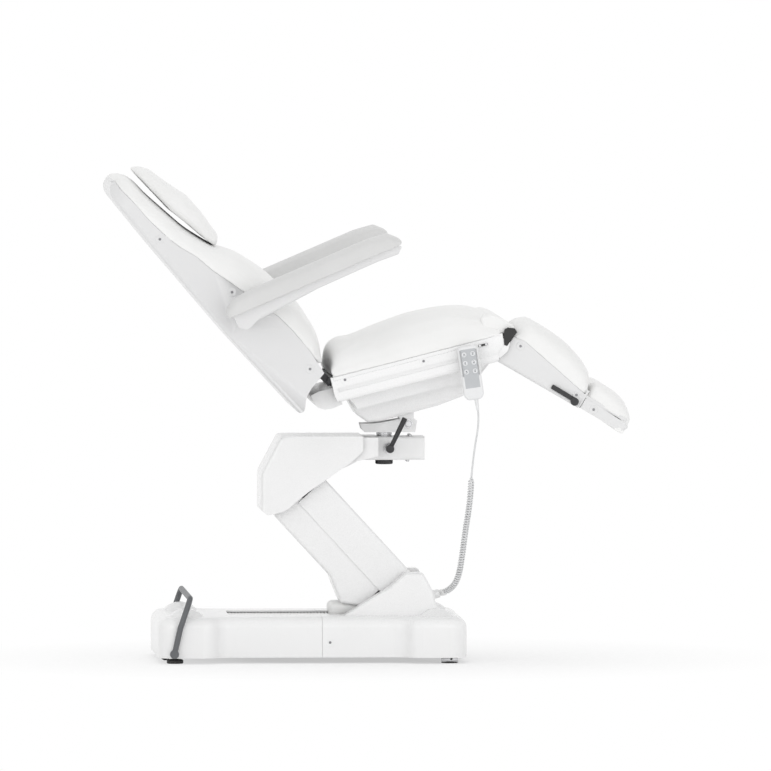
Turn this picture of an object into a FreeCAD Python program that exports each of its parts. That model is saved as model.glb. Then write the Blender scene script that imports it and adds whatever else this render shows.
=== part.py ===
import FreeCAD, Part
import math
import os
import Sketcher
from types import SimpleNamespace
from FreeCAD import Placement, Rotation, Vector

# Electric podiatry chair on a parallel lift arm.
# Millimetres. +X runs from the headrest to the feet, +Z up, the floor is Z = 0,
# and the chair is symmetric about Y = 0 apart from the handset and its lead.

doc = FreeCAD.newDocument("PodiatryChair")
sheet = doc.addObject("Spreadsheet::Sheet", "Sizes")

# Driving sizes, one group for each part of the chair.
driving = {
    # floor base and its two moulded covers
    "baseLength": 834, "baseReach": 576.7, "bulgeHalf": 285, "bulgeLength": 140,
    "bulgeRun": 34, "waistHalf": 245, "skirtClear": 16, "deckHeight": 126,
    "coverWall": 4, "shoulderRadius": 30, "cornerRadius": 46, "partingX": -132.7,
    "partingGap": 0.6, "humpLift": 20, "humpRadius": 60, "humpEnd": 78, "humpInner": 170,
    "humpOuter": 212, "humpFade": 40, "humpLow": 36,
    "slotHalf": 108, "slotReach": 379.7, "towerLength": 311, "towerRise": 144,
    "towerFoot": 96, "towerHalf": 180, "towerRound": 9, "towerSet": 15,
    # chassis plate, feet and pivot cheeks
    "plateThick": 5, "plateLow": 16, "footRadius": 22.5, "footThick": 14,
    "stemRadius": 5, "footInset": 46, "footSide": 235, "cheekThick": 8,
    "cheekSide": 80, "cheekLean": 40, "bossRadius": 22, "cheekRadius": 18,
    # lift arm
    "pivotOneX": 102.3, "pivotOneZ": 61, "pivotTwoX": 157.3, "pivotTwoZ": 143,
    "linkLength": 500, "liftAngle": 47.4, "pinRadius": 10, "runClear": 0.05,
    "linkSide": 60, "linkThick": 10, "linkDepth": 36, "spacerReach": 77.5,
    "braceRadius": 9, "armHalf": 100, "armWall": 4, "armRound": 9, "armClear": 0.6,
    "upperRise": 33, "upperDepth": 96, "upperHead": 445, "upperFoot": 60,
    "lowerDrop": 39, "lowerDepth": 88, "lowerHead": 490, "lowerFoot": 146,
    "bootBulge": 28, "bootLength": 116,
    # lift drive along the arm's diagonal
    "liftRodAngle": 57.8, "driveRadius": 23, "driveLength": 250, "driveStart": 70,
    "gearLength": 62, "gearHalf": 27, "rodRadius": 10, "rodLength": 531.9,
    "eyeRadius": 18, "eyeHalf": 14, "eyeClear": 4, "liftStroke": 58,
    "eyeWall": 4,
    # head casting, head cover and clamp
    "headLength": 277, "headRise": 213, "headLeft": 57.5, "headLow": 34,
    "headHalf": 125, "headRound": 14, "castHalf": 112, "castTop": 12,
    "castCheek": 8, "beamReach": 198, "beamLength": 192, "beamHeight": 63,
    "beamHalf": 55, "beamTop": 175, "beamWall": 8, "beamRound": 8,
    "swivelReach": 282.5, "postRadius": 21.5, "collarRadius": 14, "collarLength": 12,
    "hubRadius": 11, "hubLength": 12, "leverOut": 66, "leverLength": 88,
    "leverWidth": 11, "leverThick": 8, "leverAngle": 25, "leverDrop": 30,
    "leverAhead": 10, "spindleRadius": 6, "nutRadius": 24, "nutLength": 13,
    # turntable bracket and tilt pin
    "tiltAhead": 63.4, "tiltHeight": 35.5, "postRise": 12, "plateUnder": 8,
    "bracketBack": 126, "bracketFront": 24, "bracketHalf": 46, "bracketWall": 8,
    "tiltPin": 7, "tiltHead": 12, "tiltHeadThick": 5,
    # seat
    "seatTilt": 14.2, "seatBack": 178, "seatHalf": 298,
    "trayLow": 115, "trayHigh": 183.4, "trayWall": 5, "trayRound": 10,
    "grooveLow": 141, "grooveHigh": 152, "grooveDeep": 6, "tubHalf": 95,
    "shoulderHalf": 190, "tubLength": 420, "tubDepth": 88, "lobeRadius": 80,
    "lobeHalf": 232, "boardThick": 10, "boardGap": 0.3,
    "cushionLow": 184, "cushionRise": 104, "cushionLap": 7.4,
    "cushionHalf": 300, "flapThick": 5, "flapHalf": 282,
    "lugThick": 8, "lugSet": 2, "lugGap": 1, "backLug": 244, "lugRadius": 16, "hingePin": 6, "legPin": 9,
    # backrest
    "hingeBack": 186.6, "hingeHeight": 176, "backAngle": 62.3, "backLength": 790,
    "shellDepth": 124, "shellHalf": 285, "shellWall": 5, "shellRound": 12,
    "padHalf": 288, "padDepth": 96, "panelThick": 6, 
    # headrest
    "pillowStart": 470, "pillowLength": 298, "pillowHalf": 175, "pillowThick": 34,
    # armrests
    "armPivot": 279.4, "armPivotDepth": 57, "armTilt": 72.1, "armLength": 508,
    "armBaseLength": 490, "armBaseDrop": 46, "armBaseHalf": 38, "armCentre": 364,
    "armPadHalf": 60, "armPadRise": 48, "armPinRadius": 8, "armBossRadius": 20,
    "armBossEnd": 318, "armPinEnd": 372, "armAhead": 12, "armBelow": 14,
    # legs
    "kneeReach": 292.6, "kneeHeight": 151.2, "legAngle": 45.2, "legInner": 14,
    "legWidth": 270, "legLength": 250, "legDrop": 45, "legRise": 42,
    "legWall": 4, "legPadLength": 284, "legPadRise": 62, "knuckleRadius": 16,
    "knuckleWidth": 40, "legRound": 8,
    # footrests
    "footStart": 262, "footLength": 139, "footDrop": 38, "footRise": 30,
    "footPadLength": 154, "footPadRise": 56, "railRadius": 7, "railStart": 80,
    "railDepth": 22, "railInset": 50, "guideLength": 34,
    # release handles on the legs
    "handlePivot": 240, "handleDrop": 31, "handleLength": 74, "handleWidth": 13,
    "handleThick": 7, "knobRadius": 11, "knobThick": 13, "handleGap": 1,
    # handset and its holder
    "handsetX": 263.3, "handsetZ": 788, "handsetSide": 331, "handsetTilt": 8.3,
    "handsetLength": 146, "handsetWidth": 54, "handsetDeep": 25, "handsetRound": 7,
    "holderLength": 74, "holderWidth": 34,
    "panelLength": 106, "panelWidth": 40, "panelProud": 1.2, "panelDeep": 2, "panelUp": 12,
    "buttonRadius": 6.7, "buttonProud": 1.6, "buttonPitch": 23.4, "buttonTop": 51,
    "buttonGap": 0.05, "buttonDeep": 2.4, "reliefLength": 30, "reliefRadius": 5.5,
    # lead
    "leadRadius": 2.5, "curlRadius": 6, "curlWire": 2.5, "curls": 30, "leadShare": 0.08, "glandRadius": 9,
    "glandLength": 16,
    # foot-operated transport bar and its castors
    "barRadius": 7.7, "barSide": 294, "barFoot": 28, "barInset": 42, "barLow": 98,
    "barHigh": 178, "barLean": 16, "barTopLean": 27, "barBend": 26,
    "axleRadius": 6, "crankLength": 18, "crankDrop": 10, "crankThick": 5,
    "castorRadius": 14, "castorWidth": 20, "castorSide": 130, "castorPin": 4,
    "blockSide": 200, "blockWidth": 12, "blockRise": 10, "sleeveRadius": 12,
    "handlePin": 5,
    # control box
    "boxLength": 190, "boxWidth": 84, "boxHeight": 58, "boxInset": 143, "boxSide": 128,
    "overrun": 5,
}
for row, (name, value) in enumerate(driving.items(), start=1):
    sheet.set(f"A{row}", name)
    sheet.set(f"B{row}", str(value))
    sheet.setAlias(f"B{row}", name)
doc.recompute()
v = SimpleNamespace(**{name: float(sheet.get(name)) for name in driving})

parts = []


# Helpers

def number(expression):
    """The value that an expression on the sheet has now."""
    return float(sheet.evalExpression(expression))


def turned(angle, x=0, y=0, z=0):
    """A place turned about +Y: a positive angle lowers what points to +X."""
    return Placement(Vector(x, y, z), Rotation(Vector(0, 1, 0), angle))


def keep(obj, label, place=None):
    obj.Label = label
    if place is not None:
        obj.Placement = place
    parts.append(obj)
    return obj


def shape_part(label, shape, place=None):
    obj = doc.addObject("Part::Feature", label)
    obj.Shape = shape
    return keep(obj, label, place)


def sketch(body, corners, plane="XZ_Plane"):
    """A closed outline on one of the body's own planes, each corner bound to the sheet."""
    drawn = body.newObject("Sketcher::SketchObject", "Outline")
    support = [f for f in body.Origin.OriginFeatures if f.Role == plane][0]
    drawn.AttachmentSupport = [(support, "")]
    drawn.MapMode = "FlatFace"
    points = [Vector(number(x), number(y), 0) for x, y in corners]
    count = len(points)
    for i, point in enumerate(points):
        drawn.addGeometry(Part.LineSegment(point, points[(i + 1) % count]))
    for i in range(count):
        drawn.addConstraint(Sketcher.Constraint("Coincident", i, 2, (i + 1) % count, 1))
    for i, (x, y) in enumerate(corners):
        for kind, text in (("DistanceX", x), ("DistanceY", y)):
            made = drawn.addConstraint(Sketcher.Constraint(kind, -1, 1, i, 1, number(text)))
            drawn.setExpression(f"Constraints[{made}]", text)
    return drawn


def bound(corners):
    """The same corners with every size named as the sheet's own cell."""
    return [(cells(x), cells(y)) for x, y in corners]


def cells(text):
    words = []
    word = ""
    for letter in text + " ":
        if letter.isalnum() or letter in "._":
            word += letter
            continue
        words.append("Sizes." + word if word in driving else word)
        words.append(letter)
        word = ""
    return "".join(words).strip()


def new_body(label):
    return doc.addObject("PartDesign::Body", label)


def pad(body, corners, length, plane="XZ_Plane", midplane=True):
    feature = body.newObject("PartDesign::Pad", "Pad")
    feature.Profile = sketch(body, bound(corners), plane)
    feature.Midplane = midplane
    feature.setExpression("Length", cells(length))
    doc.recompute()
    return feature


def pocket(body, corners, length, plane="XZ_Plane", midplane=True):
    before = body.Shape.Volume
    feature = body.newObject("PartDesign::Pocket", "Pocket")
    feature.Profile = sketch(body, bound(corners), plane)
    feature.Midplane = midplane
    feature.setExpression("Length", cells(length))
    doc.recompute()
    if body.Shape.Volume >= before:
        raise ValueError(f"{body.Label}: a pocket cuts nothing")
    return feature


def round_edges(body, radius, wanted):
    """Fillets the edges of the body's last feature that wanted() picks."""
    names = [f"Edge{i}" for i, edge in enumerate(body.Shape.Edges, start=1) if wanted(edge)]
    base = body.Tip
    feature = body.newObject("PartDesign::Fillet", "Fillet")
    feature.Base = (base, names)
    feature.setExpression("Radius", cells(radius))
    doc.recompute()
    return feature


def bevel_edges(body, size, wanted):
    """Chamfers the edges of the body's last feature that wanted() picks."""
    names = [f"Edge{i}" for i, edge in enumerate(body.Shape.Edges, start=1) if wanted(edge)]
    base = body.Tip
    feature = body.newObject("PartDesign::Chamfer", "Chamfer")
    feature.Base = (base, names)
    feature.setExpression("Size", cells(size))
    doc.recompute()
    return feature


def upright(edge):
    a, b = edge.Vertexes[0].Point, edge.Vertexes[-1].Point
    return abs(a.x - b.x) < 0.01 * v.coverWall and abs(a.y - b.y) < 0.01 * v.coverWall


def at_side(edge, side):
    """Both ends of the edge lie on the plane |Y| = side."""
    return all(abs(abs(p.Point.y) - side) < 0.01 * v.coverWall for p in edge.Vertexes)


def rod(radius, start, end):
    """A round bar between two points."""
    return Part.makeCylinder(radius, start.distanceToPoint(end), start, end - start)


def cross_rod(radius, x, z, y0, y1):
    return rod(radius, Vector(x, y0, z), Vector(x, y1, z))


def slab(x0, x1, y0, y1, z0, z1):
    return Part.makeBox(x1 - x0, y1 - y0, z1 - z0, Vector(x0, y0, z0))


def extruded(points, y0, y1):
    """A flat outline of (x, z) points carried from y0 to y1."""
    corners = [Vector(x, y0, z) for x, z in points]
    face = Part.Face(Part.makePolygon(corners + corners[:1]))
    return face.extrude(Vector(0, y1 - y0, 0))


def rounded(shape, radius, wanted):
    """The shape with the edges that wanted() picks filleted."""
    return shape.makeFillet(radius, [edge for edge in shape.Edges if wanted(edge)])


def both_sides(shape):
    return [shape, shape.mirror(Vector(0, 0, 0), Vector(0, 1, 0))]


def cross_section(x, half, top_half, low, side, seam, top):
    """A cushion's section: flat below, bulging sides, a crown over the top."""
    a, b = Vector(x, -half * 0.985, low), Vector(x, half * 0.985, low)
    c, d = Vector(x, top_half, seam), Vector(x, -top_half, seam)
    edges = [Part.makeLine(a, b)]
    edges.append(Part.Arc(b, Vector(x, half, side), c).toShape())
    edges.append(Part.Arc(c, Vector(x, 0, top), d).toShape())
    edges.append(Part.Arc(d, Vector(x, -half, side), a).toShape())
    return Part.Wire(edges)


# Frames of the moving groups, each from the pivot that carries it

liftPlace = turned(v.liftAngle, v.pivotOneX, 0, v.pivotOneZ)
upperPlace = turned(v.liftAngle, v.pivotTwoX, 0, v.pivotTwoZ)
headPoint = liftPlace.multVec(Vector(-v.linkLength, 0, 0))
headPlace = turned(0, headPoint.x, 0, headPoint.z)
barX = v.barInset - v.baseReach
boxX = v.boxInset - v.baseReach
towerX = v.partingX + v.towerSet
swivelX = headPoint.x + v.swivelReach
beamTopZ = headPoint.z + v.beamTop
seatPlace = turned(-v.seatTilt, swivelX + v.tiltAhead, 0, beamTopZ + v.tiltHeight)
backPlace = seatPlace * turned(v.backAngle, -v.hingeBack, 0, v.hingeHeight)
legPlace = seatPlace * turned(v.legAngle, v.kneeReach, 0, v.kneeHeight)
armPlace = backPlace * turned(-v.armTilt, -v.armPivot, 0, -v.armPivotDepth)


# Base covers, chassis and feet

def plan(inset):
    """The base seen from above: wide at both ends, drawn in at the waist."""
    left, right = f"-baseReach + {inset}", f"baseLength - baseReach - {inset}"
    wide, waist = f"bulgeHalf - {inset}", f"waistHalf - {inset}"
    run = [
        (left, wide), (f"-baseReach + bulgeLength - {inset}", wide),
        (f"-baseReach + bulgeLength + bulgeRun - {inset}", waist),
        (f"baseLength - baseReach - bulgeLength - bulgeRun + {inset}", waist),
        (f"baseLength - baseReach - bulgeLength + {inset}", wide), (right, wide),
    ]
    return run + [(x, f"-({y})") for x, y in reversed(run)]


def moulding(label, inset, high):
    """A solid of the base's plan with round corners, from the skirt's edge up."""
    body = new_body(label)
    pad(body, plan(inset), f"{high} - skirtClear", "XY_Plane", False)
    round_edges(body, f"cornerRadius - {inset}", upright)
    body.setExpression("Placement.Base.z", cells("skirtClear"))
    doc.recompute()
    return body


def top_edge(body):
    """Picks the edges round the top face of a body that was just padded."""
    top = body.Shape.BoundBox.ZMax - body.Placement.Base.z
    return lambda e: min(p.Point.z for p in e.Vertexes) > top - v.runClear


def humps():
    """Low rounded humps over the four corners, where the castors and feet are."""
    level = v.deckHeight + v.humpLift - v.humpRadius
    made = []
    for x in (-v.baseReach + v.humpEnd, v.baseLength - v.baseReach - v.humpEnd):
        for side in (-1, 1):
            ends = sorted((side * v.humpInner, side * v.humpOuter))
            made.append(cross_rod(v.humpRadius, x, level, *ends))
            for y, way in zip(ends, (-1, 1)):
                made.append(Part.makeCone(v.humpRadius, v.humpLow, v.humpFade,
                                          Vector(x, y, level), Vector(0, way, 0)))
    return made


towerShares = [(0, 0), (0.28, 0.375), (0.55, 0.74), (0.69, 1), (0.84, 1),
               (0.926, 0.653), (1, 0)]


def tower_solid(inset, half_from, half_to):
    x0, z0 = towerX, v.towerFoot
    points = [(x0 + v.towerLength * x, z0 + v.towerRise * z) for x, z in towerShares]
    solid = extruded(points, half_from, half_to)
    if not inset:
        return rounded(solid, v.towerRound, lambda e: at_side(e, v.towerHalf)
                       and max(p.Point.z for p in e.Vertexes) > v.towerFoot + v.overrun)
    corners = [Vector(x, half_from, z) for x, z in points]
    shrunk = Part.Face(Part.makePolygon(corners + corners[:1])).makeOffset2D(-inset)
    return shrunk.extrude(Vector(0, half_to - half_from, 0))


def make_base_covers():
    outside = moulding("base_outside", "0", "deckHeight")
    round_edges(outside, "shoulderRadius", top_edge(outside))
    inside = moulding("base_inside", "coverWall", "(deckHeight - coverWall)")
    bevel_edges(inside, "shoulderRadius * 0.6", top_edge(inside))
    hollow = inside.Shape.copy()
    hollow.translate(Vector(0, 0, -v.overrun))
    shell = outside.Shape.fuse(humps()).cut(inside.Shape.fuse(hollow))
    slot = slab(-v.slotReach, v.baseLength, -v.slotHalf, v.slotHalf, v.towerFoot, v.baseLength)
    far = v.baseLength
    left = slab(-far, v.partingX - v.partingGap, -far, far, 0, far)
    axle_hole = cross_rod(v.axleRadius + v.coverWall / 2, barX, v.barFoot, -far, far)
    long_cover = shell.common(left).cut(slot.fuse(axle_hole))
    shape_part("base_cover_long", long_cover.removeSplitter())

    tower = tower_solid(0, -v.towerHalf, v.towerHalf)
    back = towerX + v.towerLength
    mouth = slab(-v.slotReach, v.pivotTwoX, -v.slotHalf, v.slotHalf,
                 v.towerFoot - v.shoulderRadius, far)
    mouth = mouth.fuse(tower_solid(v.coverWall, -v.slotHalf, v.slotHalf))
    right = shell.common(slab(v.partingX, far, -far, far, 0, far))
    inner = slab(v.partingX, back, -v.towerHalf, v.towerHalf,
                 v.towerFoot - v.shoulderRadius, v.towerFoot + v.overrun)
    cheeks = both_sides(tower_solid(v.coverWall, v.slotHalf + v.coverWall,
                                    v.towerHalf - v.coverWall))
    under = slab(v.partingX + v.towerLength * 0.3, back - v.towerLength * 0.2,
                 v.slotHalf + v.coverWall, v.towerHalf - v.coverWall, 0,
                 v.towerFoot + 2 * v.overrun)
    whole = right.fuse(tower.cut(inner)).cut(mouth)
    whole = whole.cut(cheeks[0].fuse(cheeks[1:] + both_sides(under)))
    shape_part("base_cover_tower", whole.removeSplitter())


def make_chassis():
    body = new_body("plate_blank")
    pad(body, plan("coverWall"), "plateThick", "XY_Plane", False)
    round_edges(body, "cornerRadius - coverWall", upright)
    plate = body.Shape.copy()
    plate.translate(Vector(0, 0, v.plateLow))
    top = v.plateLow + v.plateThick
    wells = slab(-v.baseLength, barX + v.crankLength + v.castorPin, v.castorSide
                 - v.castorWidth, v.castorSide + v.castorWidth, 0, top + v.overrun)
    axle = cross_rod(v.axleRadius + v.runClear, barX, v.barFoot, -v.barSide, v.barSide)
    blocks = slab(barX - 2 * v.axleRadius, barX + 2 * v.axleRadius, v.blockSide,
                  v.blockSide + v.blockWidth, v.plateLow, v.barFoot + v.blockRise)
    plate = plate.cut(Part.makeCompound(both_sides(wells)))
    shape_part("base_plate", plate.fuse(both_sides(blocks)).cut(axle).removeSplitter())

    feet = []
    for x in (-v.baseReach + v.footInset, v.baseLength - v.baseReach - v.footInset):
        for y in (-v.footSide, v.footSide):
            pad_foot = Part.makeCylinder(v.footRadius, v.footThick, Vector(x, y, 0))
            stem = slab(x - v.stemRadius, x + v.stemRadius, y - v.stemRadius,
                        y + v.stemRadius, v.footThick, v.plateLow)
            feet.append(pad_foot.fuse(stem).removeSplitter())
    shape_part("levelling_feet", Part.makeCompound(feet))

    reach = v.cheekRadius
    cheek = extruded([(v.pivotOneX - v.cheekLean, top),
                      (v.pivotTwoX + reach, top), (v.pivotTwoX + reach, v.pivotTwoZ),
                      (v.pivotTwoX + 0.7 * reach, v.pivotTwoZ + 0.7 * reach),
                      (v.pivotTwoX, v.pivotTwoZ + reach),
                      (v.pivotTwoX - reach, v.pivotTwoZ + reach / 2),
                      (v.pivotOneX - reach, v.pivotOneZ + reach)],
                     v.cheekSide, v.cheekSide + v.cheekThick)
    near, far = both_sides(cheek)
    pins = [cross_rod(v.pinRadius, x, z, -v.cheekSide, v.cheekSide)
            for x, z in ((v.pivotOneX, v.pivotOneZ), (v.pivotTwoX, v.pivotTwoZ))]
    shape_part("pivot_cheeks", near.fuse([far] + pins).removeSplitter())

    box = slab(boxX, boxX + v.boxLength, v.boxSide, v.boxSide + v.boxWidth,
               top, top + v.boxHeight)
    shape_part("control_box", rounded(box, v.coverWall, upright))


# Lift arm: two pairs of links, their covers and the drive between them

def make_links():
    depth = v.linkDepth / 2
    for label, place, brace_share in (("lower_link", liftPlace, 0.88),
                                      ("upper_link", upperPlace, 0.14)):
        bar = slab(-v.linkLength, 0, v.linkSide, v.linkSide + v.linkThick, -depth, depth)
        solids = []
        for side in both_sides(bar):
            ends = [cross_rod(depth, x, 0, side.BoundBox.YMin, side.BoundBox.YMax)
                    for x in (0, -v.linkLength)]
            solids.append(side.fuse(ends))
        spacers = []
        for x in (0, -v.linkLength):
            spacers += both_sides(cross_rod(depth, x, 0, v.linkSide, v.spacerReach))
        brace = cross_rod(v.braceRadius, -v.linkLength * brace_share, 0,
                          -v.linkSide, v.linkSide)
        link = solids[0].fuse(solids[1:] + spacers + [brace])
        holes = [cross_rod(v.pinRadius + v.runClear, x, 0, -v.armHalf, v.armHalf)
                 for x in (0, -v.linkLength)]
        shape_part(label, link.cut(holes[0].fuse(holes[1])).removeSplitter(), place)


def make_arm_covers():
    half = v.armHalf
    top = v.upperRise
    body = new_body("arm_upper_cover")
    pad(body, [("-upperHead", "upperRise - upperDepth"), ("-upperFoot", "upperRise - upperDepth"),
               ("-upperFoot", "upperRise"), ("-upperHead", "upperRise")], "2 * armHalf")
    round_edges(body, "armRound", lambda e: at_side(e, half)
                and all(abs(p.Point.z - top) < v.runClear for p in e.Vertexes))
    pocket(body, [("-upperHead - overrun", "upperRise - upperDepth - overrun"),
                  ("-upperFoot + overrun", "upperRise - upperDepth - overrun"),
                  ("-upperFoot + overrun", "upperRise - armWall"),
                  ("-upperHead - overrun", "upperRise - armWall")],
           "2 * armHalf - 2 * armWall")
    keep(body, "arm_upper_cover", upperPlace)

    low = -v.lowerDrop
    web = [(-v.lowerHead, low), (-v.lowerFoot - v.bootLength, low),
           (-v.lowerFoot - v.bootLength * 0.8, low - v.bootBulge * 0.35),
           (-v.lowerFoot - v.bootLength * 0.38, low - v.bootBulge),
           (-v.lowerFoot, low + v.armWall)]
    rim = [(-v.lowerFoot, low + v.lowerDepth), (-v.lowerHead, low + v.lowerDepth)]
    outer_half = half - v.armWall - v.armClear
    outer = extruded(web + rim, -outer_half, outer_half)
    outer = rounded(outer, v.armRound, lambda e: at_side(e, outer_half)
                    and max(p.Point.z for p in e.Vertexes) < low + v.armWall + v.armClear
                    and e.Length > v.armRound)
    inner_web = [(x, z + v.armWall) for x, z in web]
    inner_web[0] = (-v.lowerHead - v.overrun, inner_web[0][1])
    inner_web[-1] = (-v.lowerFoot + v.overrun, inner_web[-1][1])
    inner_rim = [(-v.lowerFoot + v.overrun, low + v.lowerDepth + v.overrun),
                 (-v.lowerHead - v.overrun, low + v.lowerDepth + v.overrun)]
    inner_half = outer_half - v.armWall
    inner = extruded(inner_web + inner_rim, -inner_half, inner_half)
    shape_part("arm_lower_cover", outer.cut(inner).removeSplitter(), liftPlace)


def make_lift_drive():
    place = turned(v.liftRodAngle, v.pivotOneX, 0, v.pivotOneZ)
    ends = (-v.driveStart, -v.driveStart - v.driveLength)
    gear = slab(ends[0], ends[0] + v.gearLength - v.eyeRadius, -v.gearHalf, v.gearHalf,
                -v.gearHalf, v.gearHalf)
    gear = rounded(gear, v.shellWall, lambda e: abs(e.Vertexes[0].X - e.Vertexes[-1].X)
                   > v.overrun)
    eye = cross_rod(v.eyeRadius, 0, 0, -v.eyeHalf, v.eyeHalf)
    neck = slab(-v.gearLength, 0, -v.eyeHalf, v.eyeHalf, -v.rodRadius, v.rodRadius)
    tube = rod(v.driveRadius, Vector(ends[0], 0, 0), Vector(ends[1], 0, 0))
    motor = gear.fuse([eye, neck, tube])
    bore = rod(v.rodRadius + v.runClear, Vector(ends[0] - v.gearLength / 2, 0, 0),
               Vector(ends[1] - v.overrun, 0, 0))
    hole = cross_rod(v.pinRadius + v.runClear, 0, 0, -v.armHalf, v.armHalf)
    shape_part("lift_motor", motor.cut(bore.fuse(hole)).removeSplitter(), place)

    shaft = rod(v.rodRadius, Vector(ends[0] - v.gearLength / 2 - v.liftStroke - v.overrun, 0, 0),
                Vector(-v.rodLength, 0, 0))
    end = cross_rod(v.pinRadius + v.eyeClear + v.eyeWall, -v.rodLength, 0, -v.eyeHalf,
                    v.eyeHalf)
    hole = cross_rod(v.pinRadius + v.eyeClear, -v.rodLength, 0, -v.armHalf, v.armHalf)
    shape_part("lift_rod", shaft.fuse(end).cut(hole).removeSplitter(), place)


# Head: casting with the beam, its cover, and the swivel clamp

headShares = [(0.209, 1), (0.188, 0.99), (0.008, 0.55), (0, 0.49), (0, 0.066), (0.06, 0),
              (0.105, 0.004), (0.224, 0.047), (0.292, 0.103), (0.368, 0.193),
              (0.473, 0.3), (0.635, 0.446), (0.874, 0.657), (1, 0.81), (1, 1)]


def make_head():
    inside = v.castHalf - v.castCheek
    top = v.beamTop
    pivot_two = Vector(v.pivotTwoX - v.pivotOneX, 0, v.pivotTwoZ - v.pivotOneZ)
    knee = v.bossRadius
    cheek = extruded([(-knee, -knee / 2), (knee / 2, -knee), (knee, 0),
                      (pivot_two.x + knee, pivot_two.z - v.headLow),
                      (v.beamReach + v.beamWall, top - v.beamHeight),
                      (v.beamReach + v.beamHeight, top - v.beamHeight + v.castTop),
                      (v.beamReach + v.beamHeight, top), (knee, top), (-knee, top * 0.56)],
                     inside, v.castHalf)
    near, far = both_sides(cheek)
    lid = slab(knee, v.beamReach, -inside, inside, top - v.castTop, top)
    pins = [cross_rod(v.pinRadius, x, z, -inside, inside)
            for x, z in ((0, 0), (pivot_two.x, pivot_two.z))]
    low = top - v.beamHeight
    beam = slab(v.beamReach, v.beamReach + v.beamLength, -v.beamHalf, v.beamHalf, low, top)
    beam = rounded(beam, v.beamRound, lambda e: abs(e.Vertexes[0].X - e.Vertexes[-1].X)
                   > v.beamHeight)
    web = slab(v.beamReach, v.beamReach + v.beamHeight, -inside, inside, low + v.castTop, top)
    cast = near.fuse([far, lid, beam, web] + pins)
    bore = Part.makeCylinder(v.postRadius + v.runClear, v.beamHeight + 2 * v.overrun,
                             Vector(v.swivelReach, 0, low - v.overrun))
    spindle = cross_rod(v.spindleRadius + v.runClear, v.swivelReach + v.leverAhead,
                        top - v.leverDrop, -v.beamHalf - v.overrun, -v.beamHalf + v.collarLength)
    shape_part("head_casting", cast.cut(bore.fuse(spindle)).removeSplitter(), headPlace)

    points = [(-v.headLeft + v.headLength * x, -v.headLow + v.headRise * z)
              for x, z in headShares]
    outer = extruded(points, -v.headHalf, v.headHalf)
    outer = rounded(outer, v.headRound, lambda e: at_side(e, v.headHalf)
                    and e.BoundBox.XMax < v.headLength * 0.79
                    and e.BoundBox.ZMax > v.headLow and e.BoundBox.XMin < 0)
    face = Part.Face(Part.makePolygon([Vector(x, 0, z) for x, z in points + points[:1]]))
    inner_half = v.headHalf - v.armWall
    inner = face.makeOffset2D(-v.armWall)
    inner.translate(Vector(0, -inner_half, 0))
    room = inner.extrude(Vector(0, 2 * inner_half, 0))
    mouth = room.copy()
    mouth.translate(Vector(v.headRound, 0, -v.headRound))
    end = room.copy()
    end.translate(Vector(2 * v.armWall, 0, 0))
    end = end.common(slab(0, v.headLength, -v.headHalf, v.headHalf, 0, v.headRise))
    shape_part("head_cover", outer.cut(room.fuse([mouth, end])).removeSplitter(), headPlace)

    hub = Vector(v.swivelReach + v.leverAhead, -v.beamHalf, top - v.leverDrop)
    collar = rod(v.collarRadius, hub, hub - Vector(0, v.collarLength, 0))
    hole = rod(v.spindleRadius + v.runClear, hub, hub - Vector(0, 2 * v.collarLength, 0))
    shape_part("clamp_collar", collar.cut(hole), headPlace)

    out = hub - Vector(0, v.leverOut, 0)
    spin = rod(v.spindleRadius, hub + Vector(0, v.collarLength - v.castCheek / 2, 0), out)
    boss = rod(v.hubRadius, out + Vector(0, v.hubLength / 2, 0),
               out - Vector(0, v.hubLength / 2, 0))
    angle = math.radians(v.leverAngle)
    along = Vector(math.sin(angle), 0, math.cos(angle))
    tip = along * v.leverLength
    handle = Part.makeCone(v.leverThick / 2, v.leverWidth / 2, v.leverLength, out, along)
    ball = Part.makeCone(v.leverWidth / 2, v.leverWidth / 4, v.leverWidth / 4, out + tip, along)
    shape_part("clamp_lever", boss.fuse([spin, handle, ball]).removeSplitter(), headPlace)


# Turntable: post, bracket and tilt pin

def make_turntable():
    low = beamTopZ - v.beamHeight
    top = beamTopZ + v.postRise
    post = Part.makeCylinder(v.postRadius, top - low + v.nutLength,
                             Vector(swivelX, 0, low - v.nutLength))
    nut = Part.makeCylinder(v.nutRadius, v.nutLength - v.runClear,
                            Vector(swivelX, 0, low - v.nutLength))
    washer = Part.makeCylinder(v.nutRadius + v.runClear, v.postRise - v.runClear,
                               Vector(swivelX, 0, beamTopZ + v.runClear))
    shape_part("swivel_post", post.fuse([nut, washer]).removeSplitter())

    floor = top - beamTopZ - v.tiltHeight
    plate = slab(-v.bracketBack + v.bracketWall, v.bracketFront - v.overrun, -v.bracketHalf,
                 v.bracketHalf, floor, floor + v.plateUnder)
    side = extruded([(-v.bracketBack, floor + v.plateUnder), (-v.bracketBack + v.bracketWall, floor),
                     (v.bracketFront - v.overrun, floor), (v.bracketFront, v.bracketWall),
                     (v.bracketWall, v.bracketFront * 0.75), (-v.bracketFront, v.tiltHead),
                     (-v.bracketBack * 0.6, v.bracketWall * 0.3),
                     (-v.bracketBack * 0.8, 0), (-v.bracketBack - v.bracketWall / 2, 0)],
                    v.bracketHalf - v.bracketWall, v.bracketHalf)
    near, far = both_sides(side)
    pin = cross_rod(v.tiltPin, 0, 0, -v.bracketHalf - v.tiltHeadThick * 3,
                    v.bracketHalf + v.tiltHeadThick * 3)
    heads = both_sides(cross_rod(v.tiltHead, 0, 0, v.bracketHalf + v.tiltHeadThick * 2,
                                 v.bracketHalf + v.tiltHeadThick * 3))
    bracket = near.fuse([far, plate, pin] + heads).removeSplitter()
    place = turned(0, swivelX + v.tiltAhead, 0, beamTopZ + v.tiltHeight)
    shape_part("turntable_bracket", bracket, place)


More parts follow.
